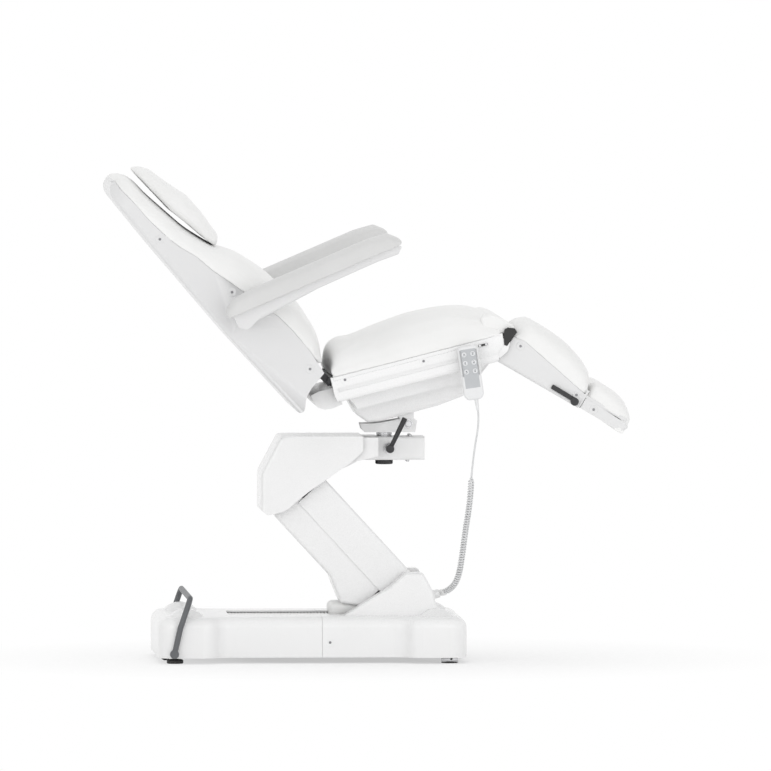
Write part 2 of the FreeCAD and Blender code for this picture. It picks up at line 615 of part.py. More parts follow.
# Seat: tray with its tub, board with the hinge lugs, cushion and knee flap

bellyShares = [(0, 1.04), (0.02, 0.9), (0.05, 0.4), (0.11, 0.06), (0.2, 0), (0.58, 0.03),
               (0.75, 0.12), (0.9, 0.66), (1, 1.04)]
bellyRoomShares = [(0.04, 1.3), (0.075, 0.42), (0.13, 0.12), (0.2, 0.06), (0.58, 0.09),
                   (0.74, 0.18), (0.87, 0.7), (0.93, 1.3)]
shoulderShares = [(0.02, 1.04), (0.06, 0.6), (0.84, 0.6), (0.955, 1.04)]
tailShares = [(0.24, -0.76), (0.24, -0.28), (-0.44, -0.28), (-0.72, -0.35), (-0.7, -0.6),
              (-0.58, -0.81), (-0.38, -0.93), (-0.1, -0.95), (0.24, -0.9)]
seatTopShares = [(0.0, 0.24, 0.9), (0.015, 0.48, 0.96), (0.07, 0.68, 0.99),
                 (0.3, 0.89, 1), (0.53, 1.0, 1), (0.74, 0.94, 1),
                 (0.92, 0.72, 1), (0.98, 0.5, 0.97), (1.0, 0.18, 0.9)]


def cushion(stations, start, length, half, low, rise, edge_share):
    """A loft along X through crowned sections, from (place, height, width) shares."""
    wires = []
    for place, height, width in stations:
        top = low + rise * height
        side = low + rise * min(height, 0.5) * 0.5
        seam = low + rise * height * edge_share
        wires.append(cross_section(start + length * place, half * width,
                                   half * width * 0.94, low, side, seam, top))
    return Part.makeLoft(wires, True, True)


def make_seat():
    far = 2 * v.seatHalf
    body = new_body("tray_blank")
    rim = "kneeReach - lugRadius - trayWall - partingGap"
    pad(body, [("-seatBack", "trayLow"), (rim, "trayLow"), (rim, "trayHigh - boardThick"),
               ("-seatBack", "trayHigh - boardThick")], "2 * seatHalf")
    round_edges(body, "trayRound", lambda e: at_side(e, v.seatHalf)
                and all(abs(p.Point.z - v.trayLow) < v.runClear for p in e.Vertexes))
    groove = slab(-v.seatBack + v.grooveDeep, far, v.seatHalf - v.grooveDeep,
                  v.seatHalf + v.overrun, v.grooveLow, v.grooveHigh)
    tray = body.Shape.cut(Part.makeCompound(both_sides(groove)))
    floor = v.trayLow - v.tubDepth
    start = -v.seatBack + v.grooveDeep * 4

    def tub(shares, half):
        points = [(start + v.tubLength * x, floor + v.tubDepth * z) for x, z in shares]
        return extruded(points, -half, half)

    belly = rounded(tub(bellyShares, v.tubHalf), v.trayRound, lambda e: at_side(e, v.tubHalf)
                    and e.BoundBox.ZMax < floor + v.tubDepth * 0.62)
    tail = extruded([(-v.hingeBack + v.lobeRadius * x, v.hingeHeight + v.lobeRadius * z)
                     for x, z in tailShares], -v.lobeHalf, v.lobeHalf)
    side = v.seatHalf - v.trayWall - v.grooveDeep
    room = slab(-v.seatBack + v.trayWall, v.kneeReach - v.partingGap - v.lugRadius
                - 2 * v.trayWall, -side, side, v.trayLow + v.trayWall, v.trayHigh)
    pan = tray.fuse([belly, tub(shoulderShares, v.shoulderHalf), tail])
    pan = pan.cut(room.fuse(tub(bellyRoomShares, v.tubHalf - v.trayWall)))
    notch = slab(-2 * v.seatBack, -v.seatBack + 2 * v.boardThick, v.lobeHalf,
                 v.backLug + 3 * v.lugThick, 0, far)
    sweep = cross_rod(v.legDrop + v.legWall, v.kneeReach, v.kneeHeight, -v.shellHalf, v.shellHalf)
    arm_room = slab(v.kneeReach - 4 * v.lugRadius - v.boardGap, far, v.shellHalf - v.boardGap,
                    v.shellHalf + v.lugThick + v.boardGap,
                    v.kneeHeight - v.lugRadius - v.boardGap, far)
    ear_room = slab(-far, -v.seatBack + v.boardThick * 5,
                    v.lobeHalf - v.lugSet - v.lugThick - v.boardGap,
                    v.lobeHalf - v.lugSet + v.boardGap,
                    v.hingeHeight - v.lugRadius - v.boardGap, far)
    rooms = both_sides(notch) + both_sides(arm_room) + both_sides(ear_room)
    pan = pan.cut(sweep.fuse(rooms))
    lug = extruded([(-v.lugRadius * 1.5, floor + v.tubDepth * 0.1), (-v.tiltHead, -v.tiltHead),
                    (v.tiltHead, -v.tiltHead), (v.lugRadius * 1.5, floor + v.tubDepth * 0.1)],
                   v.bracketHalf + v.runClear * 4, v.bracketHalf + v.tiltHeadThick * 1.6)
    pin_hole = cross_rod(v.tiltPin + v.runClear, 0, 0, -v.seatHalf, v.seatHalf)
    pan = pan.fuse([piece.cut(pin_hole) for piece in both_sides(lug)])
    shape_part("seat_pan", pan.removeSplitter(), seatPlace)

    body = new_body("board_blank")
    front = "kneeReach - lugRadius - trayWall - partingGap"
    pad(body, [("-seatBack", "trayHigh - boardThick"), (front, "trayHigh - boardThick"),
               (front, "trayHigh"), ("-seatBack", "trayHigh")], "2 * seatHalf")
    board = body.Shape.copy()
    under = v.trayHigh - v.boardThick
    cut = slab(-2 * v.seatBack, -v.seatBack + v.boardThick * 2, v.lobeHalf,
               v.backLug + 3 * v.lugThick, 0, far)
    board = board.cut(Part.makeCompound(both_sides(cut)))
    room = slab(-v.seatBack, far, -v.seatHalf, v.seatHalf, under, v.trayHigh)
    ear = extruded([(-v.seatBack + v.boardThick * 5, under), (-v.hingeBack, v.hingeHeight
                   - v.lugRadius), (-v.hingeBack - v.lugRadius, v.hingeHeight),
                   (-v.hingeBack, v.trayHigh), (-v.seatBack + v.boardThick * 5, v.trayHigh)],
                   v.lobeHalf - v.lugThick - v.lugSet, v.lobeHalf - v.lugSet)
    bore = cross_rod(v.hingePin + v.runClear, -v.hingeBack, v.hingeHeight, -v.seatHalf, v.seatHalf)
    knee = Vector(v.kneeReach, 0, v.kneeHeight)
    arms = []
    for y0, y1 in ((-v.lugThick, v.lugThick), (v.shellHalf, v.shellHalf + v.lugThick),
                   (-v.shellHalf - v.lugThick, -v.shellHalf)):
        arms.append(extruded([(knee.x - 4 * v.lugRadius, under), (knee.x - v.lugRadius * 1.4,
                             under), (knee.x + v.lugRadius / 2, knee.z + v.lugRadius / 2),
                             (knee.x + v.lugRadius / 2, knee.z - v.lugRadius / 2),
                             (knee.x - v.lugRadius / 2, knee.z - v.lugRadius),
                             (knee.x - v.lugRadius * 1.9, knee.z - v.lugRadius / 2)], y0, y1))
    pin = cross_rod(v.legPin, knee.x, knee.z, -v.shellHalf, v.shellHalf)
    ears = both_sides(ear)
    arms = Part.makeCompound(arms).cut(room)
    whole = board.fuse(ears + arms.Solids + [pin]).cut(bore)
    shape_part("seat_board", whole.removeSplitter(), seatPlace)

    start = -v.seatBack - v.boardThick * 0.1
    pad_shape = cushion(seatTopShares, start, v.kneeReach + v.cushionLap - start
                        - v.boardThick * 0.1, v.cushionHalf, v.cushionLow, v.cushionRise, 0.72)
    shape_part("seat_cushion", pad_shape, seatPlace)

    x0, z0 = v.kneeReach - v.boardThick, v.cushionLow
    strip = [(0, 0.475), (0.2, 0.45), (0.62, 0.32), (0.93, 0.2)]
    top = [(x0 + v.lugRadius * 0.55 + v.legRise * x, z0 + v.cushionRise * z) for x, z in strip]
    low = [(x - v.flapThick * 0.4, z - v.flapThick) for x, z in reversed(top)]
    flap = extruded(top + low, -v.flapHalf, v.flapHalf)
    shape_part("knee_flap", flap.cut(pad_shape), seatPlace)


# Backrest: hollow shell, steel back panel with the hinge lugs, cushion

backRearShares = [(-0.03, -0.97), (0.34, -1), (0.74, -0.935), (0.985, -0.86), (1.008, -0.65)]
backSeamShares = [(1, -0.57), (0.97, -0.597), (0.89, -0.581), (0.82, -0.589), (0.743, -0.548),
                  (0.684, -0.484), (0.624, -0.355), (0.552, -0.298), (0.48, -0.177),
                  (0.28, 0.105), (0.216, 0.129), (0.123, 0.113), (0.033, 0.024)]
backMouthShares = [(0.03, -0.113), (0.024, -0.395), (0.014, -0.589), (0.004, -0.685),
                   (-0.01, -0.774)]
padShares = [(1.012, 0.2, 0.86), (0.995, 0.42, 0.94), (0.89, 0.43, 0.985),
             (0.71, 0.52, 1), (0.6, 0.56, 1), (0.535, 0.83, 1),
             (0.42, 0.86, 1), (0.26, 0.7, 1), (0.14, 0.52, 0.99),
             (0.09, 0.34, 0.97), (0.065, 0.16, 0.93)]


def back_point(shares):
    return [(-v.backLength * u, v.shellDepth * w) for u, w in shares]


def seam_height(u):
    """Depth of the seam between shell and upholstery at u along the back."""
    table = [(a * v.backLength, b * v.shellDepth) for a, b in reversed(backSeamShares)]
    for (a0, b0), (a1, b1) in zip(table, table[1:]):
        if a0 <= u <= a1:
            return b0 + (b1 - b0) * (u - a0) / (a1 - a0)
    return table[0][1] if u < table[0][0] else table[-1][1]


def make_back():
    points = back_point(backRearShares + backSeamShares + backMouthShares)
    outer = extruded(points, -v.shellHalf, v.shellHalf)
    outer = rounded(outer, v.shellRound, lambda e: at_side(e, v.shellHalf)
                    and e.BoundBox.ZMax < -0.8 * v.shellDepth)
    face = Part.Face(Part.makePolygon([Vector(x, 0, z) for x, z in points + points[:1]]))
    inner_half = v.shellHalf - v.shellWall
    inner = face.makeOffset2D(-v.shellWall)
    inner.translate(Vector(0, -inner_half, 0))
    room = inner.extrude(Vector(0, 2 * inner_half, 0))
    mouth = room.copy()
    mouth.translate(Vector(v.shellWall * 4, 0, 0))
    over = room.copy()
    over.translate(Vector(0, 0, v.shellWall * 3))
    keep_low = slab(-v.backLength * 0.97, v.backLength, -inner_half, inner_half,
                    -v.shellDepth, v.shellDepth)
    shell = outer.cut(room.fuse([mouth, over.common(keep_low)]))
    eye = cross_rod(v.armPinRadius, -v.armPivot, -v.armPivotDepth, v.shellHalf
                    - v.shellWall, v.armPinEnd)
    boss = cross_rod(v.armBossRadius, -v.armPivot, -v.armPivotDepth, v.shellHalf
                     - v.shellWall, v.armBossEnd)
    lug_side = v.lobeHalf + v.lugGap + v.lugThick + v.boardGap
    lug_room = slab(-v.lobeRadius * 0.6, v.lugRadius, -lug_side, lug_side, -v.lugRadius * 1.5,
                    v.lugRadius)
    shell = shell.cut(lug_room).fuse(both_sides(eye.fuse(boss)))
    shape_part("back_shell", shell.removeSplitter(), backPlace)

    stations = []
    for place, height, width in padShares:
        u = place * v.backLength
        low = seam_height(u) + v.boardGap
        x, half = -u, v.padHalf * width
        rise = v.padDepth * height
        stations.append(cross_section(x, half, half * 0.93, low, low + rise * 0.35,
                                      low + rise * 0.72, low + rise))
    ground = face.makeOffset2D(v.boardGap)
    ground.translate(Vector(0, -v.padHalf - v.overrun, 0))
    ground = ground.extrude(Vector(0, 2 * (v.padHalf + v.overrun), 0))
    shape_part("back_cushion", Part.makeLoft(stations, True, True).cut(ground), backPlace)

    edge = v.lobeHalf + v.lugThick * 2
    start, end = v.lobeRadius * 1.3, v.backLength * 0.62
    steps = [start, v.backLength * 0.28, v.backLength * 0.48, end]
    upper = [(-u, seam_height(u) - v.panelThick) for u in steps]
    lower = [(x, z - v.panelThick) for x, z in reversed(upper)]
    panel = extruded(upper + lower, -edge, edge)
    lug = extruded([(v.lugRadius * 0.6, -v.lugRadius * 0.8), (v.lugRadius * 0.6, v.lugRadius * 0.3),
                    (-start - v.lugRadius * 2, upper[0][1] - v.panelThick * 0.5),
                    (-start - v.lugRadius * 2, -v.lugRadius * 1.2)],
                   v.lobeHalf + v.lugGap, v.lobeHalf + v.lugGap + v.lugThick)
    pin = cross_rod(v.hingePin, 0, 0, v.lobeHalf - 3 * v.lugThick, v.shellHalf - v.shellWall - v.lugGap)
    frame = panel.fuse(both_sides(lug.fuse(pin)))
    shape_part("back_frame", frame.removeSplitter(), backPlace)


# Headrest pillow

pillowShares = [(0, 0.3, 0.3, 0.8), (0.03, 0.24, 0.88, 0.94), (0.1, 0.18, 1.0, 0.98),
                (0.3, -0.02, 1.42, 1.0), (0.5, -0.33, 1.75, 1.0), (0.72, -0.38, 1.28, 1.0),
                (0.94, -0.44, 0.95, 0.97), (1.0, -0.42, 0.5, 0.85)]


def pad_top(u):
    """Height of the back cushion's crown at u along the back."""
    table = [(place * v.backLength, height) for place, height, _ in reversed(padShares)]
    for (a, low), (b, high) in zip(table, table[1:]):
        if a <= u <= b:
            height = low + (high - low) * (u - a) / (b - a)
            return seam_height(u) + v.boardGap + v.padDepth * height
    return -v.shellDepth


def make_headrest():
    wires = []
    for place, low_share, rise_share, width in pillowShares:
        u = v.pillowStart + v.pillowLength * place
        low = max(v.pillowThick * low_share, pad_top(u) + 2 * v.boardGap)
        rise = v.pillowThick * rise_share
        half = v.pillowHalf * width
        wires.append(cross_section(-u, half, half * 0.95, low, low + rise * 0.4,
                                   low + rise * 0.7, low + rise))
    shape_part("headrest_pillow", Part.makeLoft(wires, True, True), backPlace)


# Armrests: a moulded base on a pivot pin and a padded top

armBaseShares = [(-0.035, -0.5), (0.0, -0.83), (0.03, -0.78), (0.07, -0.6), (0.46, -0.33),
                 (0.81, -0.33), (0.93, -0.42), (0.965, -0.1), (0.955, 0.06), (-0.035, 0.2)]
armTopShare, armFallShare = 0.195, 0.1414
armPadShares = [(-0.065, 0.25, 0.8), (-0.05, 0.56, 0.92), (0.0, 0.88, 1),
                (0.1, 1.0, 1), (0.78, 1.0, 1), (0.89, 0.85, 0.97), (0.94, 0.3, 0.8)]


def make_armrests():
    for label, side in (("near", -1), ("far", 1)):
        centre = side * v.armCentre
        shift = Placement(Vector(-v.armAhead, 0, v.armBelow), Rotation())
        place = armPlace * shift
        points = [(v.armBaseLength * x, v.armBaseDrop * z) for x, z in armBaseShares]
        base = extruded(points, centre - v.armBaseHalf, centre + v.armBaseHalf)
        base = rounded(base, v.armRound, lambda e: abs(abs(e.BoundBox.YMin - centre)
                       - v.armBaseHalf) < v.runClear and abs(e.BoundBox.YMax - e.BoundBox.YMin) < v.runClear
                       and e.BoundBox.ZMax < 0 and e.Length > v.armRound * 3)
        hole = cross_rod(v.armPinRadius + v.runClear, v.armAhead, -v.armBelow,
                         side * (v.armBossEnd - v.overrun), side * (v.armPinEnd + v.runClear))
        shape_part(f"armrest_base_{label}", base.cut(hole).removeSplitter(), place)
        wires = []
        for x, height, width in armPadShares:
            share = v.armLength * x / v.armBaseLength
            low = v.armBaseDrop * (armTopShare - armFallShare * share) + v.boardGap
            rise = v.armPadRise * height
            half = v.armPadHalf * width
            wire = cross_section(v.armLength * x, half, half * 0.9, low, low + rise * 0.35,
                                 low + rise * 0.8, low + rise)
            wire.translate(Vector(0, centre, 0))
            wires.append(wire)
        shape_part(f"armrest_pad_{label}", Part.makeLoft(wires, True, True), place)


# Legs: hinged shells with cushions, sliding footrests and release handles

legShellShares = [(0.04, 0.81), (0.16, 0.95), (0.6, 0.48), (0.92, 0.12), (1.03, 0.0),
                  (1.03, -0.98), (0.02, -1.07), (0.03, -0.1)]
legPadShares = [(0.015, 0.5, 0.24, 0.9), (0.04, 0.84, 0.36, 0.97),
                (0.12, 0.98, 0.62, 1), (0.3, 1.0, 0.62, 1), (0.5, 1.12, 0.42, 1),
                (0.7, 1.06, 0.22, 1), (0.86, 0.78, 0.12, 0.99), (0.905, 0.3, 0.1, 0.93)]
footPadShares = [(0.0, 0.6, 0.9), (0.06, 0.96, 0.97), (0.4, 0.95, 1),
                 (0.65, 0.8, 1), (0.86, 0.5, 0.98), (0.98, 0.14, 0.92)]


def make_leg(label, side):
    y0, y1 = v.legInner, v.legInner + v.legWidth
    ys = (y0, y1) if side > 0 else (-y1, -y0)
    middle = (ys[0] + ys[1]) / 2
    half = v.legWidth / 2
    points = [(v.legLength * x, v.legRise * z) for x, z in legShellShares]
    outer = extruded(points, ys[0], ys[1])
    outer = rounded(outer, v.legRound, lambda e: abs(e.BoundBox.YMax - e.BoundBox.YMin) < v.runClear
                    and e.BoundBox.ZMax < -0.9 * v.legRise and e.Length > v.legLength / 2)
    face = Part.Face(Part.makePolygon([Vector(x, 0, z) for x, z in points + points[:1]]))
    room = face.makeOffset2D(-v.legWall)
    room.translate(Vector(0, ys[0] + v.legWall, 0))
    room = room.extrude(Vector(0, v.legWidth - 2 * v.legWall, 0))
    mouth = room.copy()
    mouth.translate(Vector(v.legWall * 2, 0, 0))
    mouth = mouth.common(slab(v.legLength * 0.9, v.legLength * 2, ys[0], ys[1],
                              -v.legDrop, -v.footRise * 0.16))
    guide = slab(v.legLength * 0.84, v.legLength * 0.84 + v.guideLength, ys[0] + v.legWall,
                 ys[1] - v.legWall, -v.legDrop + v.legWall, -v.railDepth * 0.45)
    rails = [ys[0] + v.railInset, ys[1] - v.railInset]
    bores = [rod(v.railRadius + v.runClear, Vector(v.railStart, y, -v.railDepth),
                 Vector(v.legLength * 1.2, y, -v.railDepth)) for y in rails]
    knuckles = []
    for y in (ys[0] + v.overrun + v.legWall, ys[1] - v.overrun - v.legWall - v.knuckleWidth):
        barrel = cross_rod(v.knuckleRadius, 0, 0, y, y + v.knuckleWidth)
        arm = slab(0, v.knuckleRadius * 1.6, y, y + v.knuckleWidth, -v.knuckleRadius,
                   v.knuckleRadius * 0.9)
        knuckles += [barrel, arm]
    pin = cross_rod(v.legPin + v.runClear, 0, 0, -v.seatHalf, v.seatHalf)
    shell = outer.cut(room.fuse(mouth)).fuse([guide] + knuckles)
    shell = shell.cut(pin.fuse(bores))
    post = cross_rod(v.handlePin, v.handlePivot, -v.handleDrop, side * (v.legInner + v.legWidth
                     - v.legWall), side * (v.legInner + v.legWidth + v.handleGap
                                           + v.knobThick * 0.7))
    shell = shell.fuse(post)
    shape_part(f"leg_shell_{label}", shell.removeSplitter(), legPlace)

    wires = []
    for x, height, low_share, width in legPadShares:
        low = v.legRise * low_share * 1.45 + v.boardGap
        wire = cross_section(v.legPadLength * x, half * width, half * width * 0.93, low,
                             low + (v.legPadRise * height * 0.4),
                             low + v.legPadRise * height * 0.72, low + v.legPadRise * height)
        wire.translate(Vector(0, middle, 0))
        wires.append(wire)
    pad_shape = Part.makeLoft(wires, True, True)
    ground = face.makeOffset2D(v.boardGap)
    ground.translate(Vector(0, ys[0] - v.overrun, 0))
    ground = ground.extrude(Vector(0, v.legWidth + 2 * v.overrun, 0))
    shape_part(f"leg_cushion_{label}", pad_shape.cut(ground), legPlace)

    out0 = v.legInner + v.legWidth + v.handleGap
    bar = slab(v.handlePivot - v.handleLength, v.handlePivot, out0, out0 + v.handleThick,
               -v.handleDrop - v.handleWidth * 0.2, -v.handleDrop + v.handleWidth * 0.8)
    bar = rounded(bar, v.handleThick * 0.45, lambda e: e.Length < v.handleWidth + v.overrun)
    knob = cross_rod(v.knobRadius, v.handlePivot, -v.handleDrop, out0, out0 + v.knobThick)
    hole = cross_rod(v.handlePin + v.runClear, v.handlePivot, -v.handleDrop, out0 - v.overrun,
                     out0 + v.knobThick * 0.7 + v.runClear)
    handle = bar.fuse(knob).cut(hole).removeSplitter()
    if side < 0:
        handle = handle.mirror(Vector(0, 0, 0), Vector(0, 1, 0))
    shape_part(f"leg_handle_{label}", handle, legPlace)

    x0, x1 = v.footStart, v.footStart + v.footLength
    tray = extruded([(x0, -v.footDrop), (x1 - v.footRise * 0.3, -v.footDrop),
                     (x1, -v.footDrop * 0.45), (x1 - v.footRise * 0.2, -v.footRise * 0.36),
                     (x0 + v.footRise * 0.3, -v.footRise * 0.2), (x0, -v.footRise * 0.3)],
                    ys[0], ys[1])
    tray = rounded(tray, v.legRound * 0.7, lambda e: e.BoundBox.XMin > x1 - v.footRise * 0.35
                   and e.BoundBox.ZMax < 0)
    tubes = [rod(v.railRadius, Vector(v.railStart + v.legWall, y, -v.railDepth),
                 Vector(x0 + v.overrun, y, -v.railDepth)) for y in rails]
    shape_part(f"foot_shell_{label}", tray.fuse(tubes).removeSplitter(), legPlace)

    wires = []
    for x, height, width in footPadShares:
        low = -v.footRise * 0.16 + v.boardGap
        wire = cross_section(x0 + v.footPadLength * x, half * width, half * width * 0.93,
                             low, low + v.footPadRise * height * 0.45,
                             low + v.footPadRise * height * 0.75, low + v.footPadRise * height)
        wire.translate(Vector(0, middle, 0))
        wires.append(wire)
    shape_part(f"foot_cushion_{label}", Part.makeLoft(wires, True, True), legPlace)


# Handset with six buttons, in a holder on the seat's near side

handsetPlace = Placement(Vector(v.handsetX, -v.handsetSide, v.handsetZ),
                         Rotation(Vector(0, 1, 0), -v.handsetTilt))


def button_places():
    return [(side * v.buttonPitch / 2, v.buttonTop - v.buttonPitch * level)
            for level in range(3) for side in (-1, 1)]


def make_handset():
    half_w, half_l, deep = v.handsetWidth / 2, v.handsetLength / 2, v.handsetDeep / 2
    body = new_body("handset_blank")
    corners = [("-handsetWidth / 2", "-handsetLength * 0.42"), ("-handsetWidth * 0.34",
               "-handsetLength / 2"), ("handsetWidth * 0.34", "-handsetLength / 2"),
               ("handsetWidth / 2", "-handsetLength * 0.42"), ("handsetWidth / 2",
               "handsetLength * 0.46"), ("handsetWidth * 0.4", "handsetLength / 2"),
               ("-handsetWidth * 0.4", "handsetLength / 2"),
               ("-handsetWidth / 2", "handsetLength * 0.46")]
    pad(body, corners, "handsetDeep")
    bevel_edges(body, "handsetRound / 2", lambda e: at_side(e, deep))
    case = body.Shape.copy()
    front = -deep
    window = slab(-v.panelWidth / 2, v.panelWidth / 2, front - v.overrun, front + v.panelDeep,
                  v.panelUp - v.panelLength / 2, v.panelUp + v.panelLength / 2)
    behind = slab(-v.buttonPitch, v.buttonPitch, front, front + v.buttonDeep * 2,
                  v.buttonTop - v.buttonPitch * 2.5, v.buttonTop + v.buttonPitch / 2)
    wells = [cross_rod(v.buttonRadius + v.buttonGap, x, z, front, front + v.panelDeep)
             for x, z in button_places()]
    relief = Part.makeCone(v.reliefRadius, v.leadRadius + v.panelProud, v.reliefLength,
                           Vector(v.handsetWidth * v.leadShare, 0, -half_l), Vector(0, 0, -1))
    relief_seat = Part.makeCylinder(v.reliefRadius + v.panelProud, v.panelProud * 2,
                                    Vector(v.handsetWidth * v.leadShare, 0, -half_l - v.panelProud))
    case = case.cut(window.fuse(behind)).fuse(relief_seat)
    shape_part("handset_case", case.removeSplitter(), handsetPlace)
    shape_part("cord_relief", relief.cut(relief_seat), handsetPlace)

    panel = slab(-v.panelWidth / 2, v.panelWidth / 2, front, front + v.panelDeep,
                 v.panelUp - v.panelLength / 2, v.panelUp + v.panelLength / 2)
    panel = panel.cut(Part.makeCompound(wells))
    shape_part("handset_panel", panel, handsetPlace)
    names = ("up", "down", "back_up", "back_down", "tilt_up", "tilt_down")
    for name, (x, z) in zip(names, button_places()):
        cap = cross_rod(v.buttonRadius, x, z, front - v.buttonProud, front + v.buttonDeep)
        shape_part(f"button_{name}", cap, handsetPlace)

    seat_face = -v.seatHalf
    back_of = -v.handsetSide + deep
    local = Vector(v.handsetX, 0, v.handsetZ)
    holder = slab(-v.holderWidth / 2, v.holderWidth / 2, 0, seat_face - back_of,
                  -v.holderLength / 2, v.holderLength / 2)
    holder = rounded(holder, v.coverWall, lambda e: abs(e.BoundBox.YMax - e.BoundBox.YMin)
                     > v.coverWall)
    place = Placement(Vector(local.x, back_of, local.z), Rotation(Vector(0, 1, 0), -v.handsetTilt))
    shape_part("handset_holder", holder, place)


# Lead: a straight run out of the handset, then a curly length to the tower

def lead_route():
    """Where the straight stretch of the lead hangs; its first point is the relief's tip."""
    tip = handsetPlace.multVec(Vector(v.handsetWidth * v.leadShare, 0,
                                      -v.handsetLength / 2 - v.reliefLength))
    down = handsetPlace.Rotation.multVec(Vector(0, 0, -v.reliefLength))
    return [tip, tip + down, Vector(272, -316, 572), Vector(267, -296, 504)]


# Points by hand along the middle of the curly stretch, down to the gland in the tower
curlRoute = [Vector(267, -296, 504), Vector(266, -284, 466), Vector(262, -262, 416),
             Vector(254, -236, 358), Vector(248, -208, 296), Vector(240, -178, 232),
             Vector(224, -142, 197), Vector(205, -112, 186)]


def biarc(start, start_way, end, end_way):
    """Two arcs that leave and arrive along the given directions."""
    gap = end - start
    both = start_way + end_way
    spread = 2 * (1 - start_way.dot(end_way))
    along = gap.dot(both)
    reach = (math.sqrt(along * along + spread * gap.dot(gap)) - along) / spread
    first, second = start + start_way * reach, end - end_way * reach
    joint = (first + second) * 0.5
    arcs = []
    for a, corner, b in ((start, first, joint), (joint, second, end)):
        half_chord = (b - a) * 0.5
        turn = math.acos(min(1, half_chord.Length / reach))
        radius = reach / math.tan(turn)
        inward = (a + half_chord - corner).normalize()
        middle = corner + inward * (radius / math.cos(turn) - radius)
        arcs.append(Part.Arc(a, middle, b).toShape())
    return arcs


def curl_path():
    """A helix about the hand-set route, its ends drawn in to the route and straight."""
    middle = Part.BSplineCurve()
    middle.interpolate(curlRoute)
    straight = 2 * v.curlWire
    length = middle.length() - 2 * straight
    steps = int(2 * v.curls)

    def place(step):
        share = step / steps
        at = middle.parameterAtDistance(straight + length * share)
        way = Vector(*middle.tangent(at)[0]).normalize()
        side = way.cross(Vector(0, 1, 0)).normalize()
        up = way.cross(side)
        radius = v.curlRadius * min(1, step / 2, (steps - step) / 2)
        angle = math.pi * step
        return middle.value(at) + (side * math.cos(angle) + up * math.sin(angle)) * radius

    def way_at(step):
        if step in (0, steps):
            return Vector(*middle.tangent(middle.parameterAtDistance(
                straight + length * step / steps))[0]).normalize()
        small = v.runClear
        return (place(step + small) - place(step - small)).normalize()

    edges = []
    for step in range(steps):
        edges += biarc(place(step), way_at(step), place(step + 1), way_at(step + 1))
    lead_in = way_at(0) * straight
    lead_out = way_at(steps) * straight
    first = Part.LineSegment(place(0) - lead_in, place(0)).toShape()
    last = Part.LineSegment(place(steps), place(steps) + lead_out).toShape()
    return Part.Wire([first] + edges + [last])


def report_gap(path):
    """Prints the tightest bend and the least gap of the wire to itself."""
    points = path.discretize(Number=int(v.curls) * 24)
    step = path.Length / len(points)
    skip = int(math.pi * v.curlRadius / step)
    nearest = min(points[i].distanceToPoint(points[j]) for i in range(len(points))
                  for j in range(i + skip, min(i + 4 * skip, len(points))))
    radii = [1 / e.curvatureAt(e.FirstParameter) for e in path.Edges if e.Length > 0
             and e.curvatureAt(e.FirstParameter) > 0]
    print("lead gap", round(nearest - 2 * v.curlWire, 2), "tightest bend", round(min(radii), 2),
          "length", round(path.Length))


def smooth_run(points):
    """Straight runs joined by arcs as large as the runs allow."""
    edges = []
    last = points[0]
    radii = []
    for a, b, c in zip(points, points[1:], points[2:]):
        run_in, run_out = (b - a), (c - b)
        turn = run_in.getAngle(run_out)
        reach = 0.45 * min(run_in.Length, run_out.Length)
        radii.append(reach / math.tan(turn / 2))
        start = b - Vector(run_in).normalize() * reach
        end = b + Vector(run_out).normalize() * reach
        middle = b + (((start + end) * 0.5) - b).normalize() * (
            radii[-1] / math.cos(turn / 2) - radii[-1])
        edges.append(Part.LineSegment(last, start).toShape())
        edges.append(Part.Arc(start, middle, end).toShape())
        last = end
    edges.append(Part.LineSegment(last, points[-1]).toShape())
    print("lead radii", [round(r) for r in radii])
    return Part.Wire(edges)


def tube(path, radius):
    start = path.Edges[0].Vertexes[0].Point
    direction = path.Edges[0].tangentAt(path.Edges[0].FirstParameter)
    ring = Part.Wire(Part.makeCircle(radius, start, direction))
    solid = path.makePipeShell([ring], True, False)
    section = math.pi * radius * radius * path.Length
    print("tube volume", round(solid.Volume / section, 4))
    return solid


def make_lead():
    shape_part("cord_straight", tube(smooth_run(lead_route()), v.leadRadius))
    path = curl_path()
    report_gap(path)
    start = path.Edges[0]
    away = start.tangentAt(start.FirstParameter)
    turn = Rotation(Vector(0, 0, 1), away)
    ring = [start.Vertexes[0].Point + turn.multVec(Vector(
        v.curlWire * math.cos(math.pi * k / 3), v.curlWire * math.sin(math.pi * k / 3), 0))
        for k in range(6)]
    profile = Part.makePolygon(ring + ring[:1])
    shape_part("cord_coil", path.makePipeShell([profile], True, False))
    end = path.Edges[-1].Vertexes[-1].Point
    way = path.Edges[-1].tangentAt(path.Edges[-1].LastParameter)
    shape_part("cord_gland", Part.makeCylinder(v.glandRadius, v.glandLength, end, way))


# Transport bar: a bent tube on an axle whose cranks carry two castors

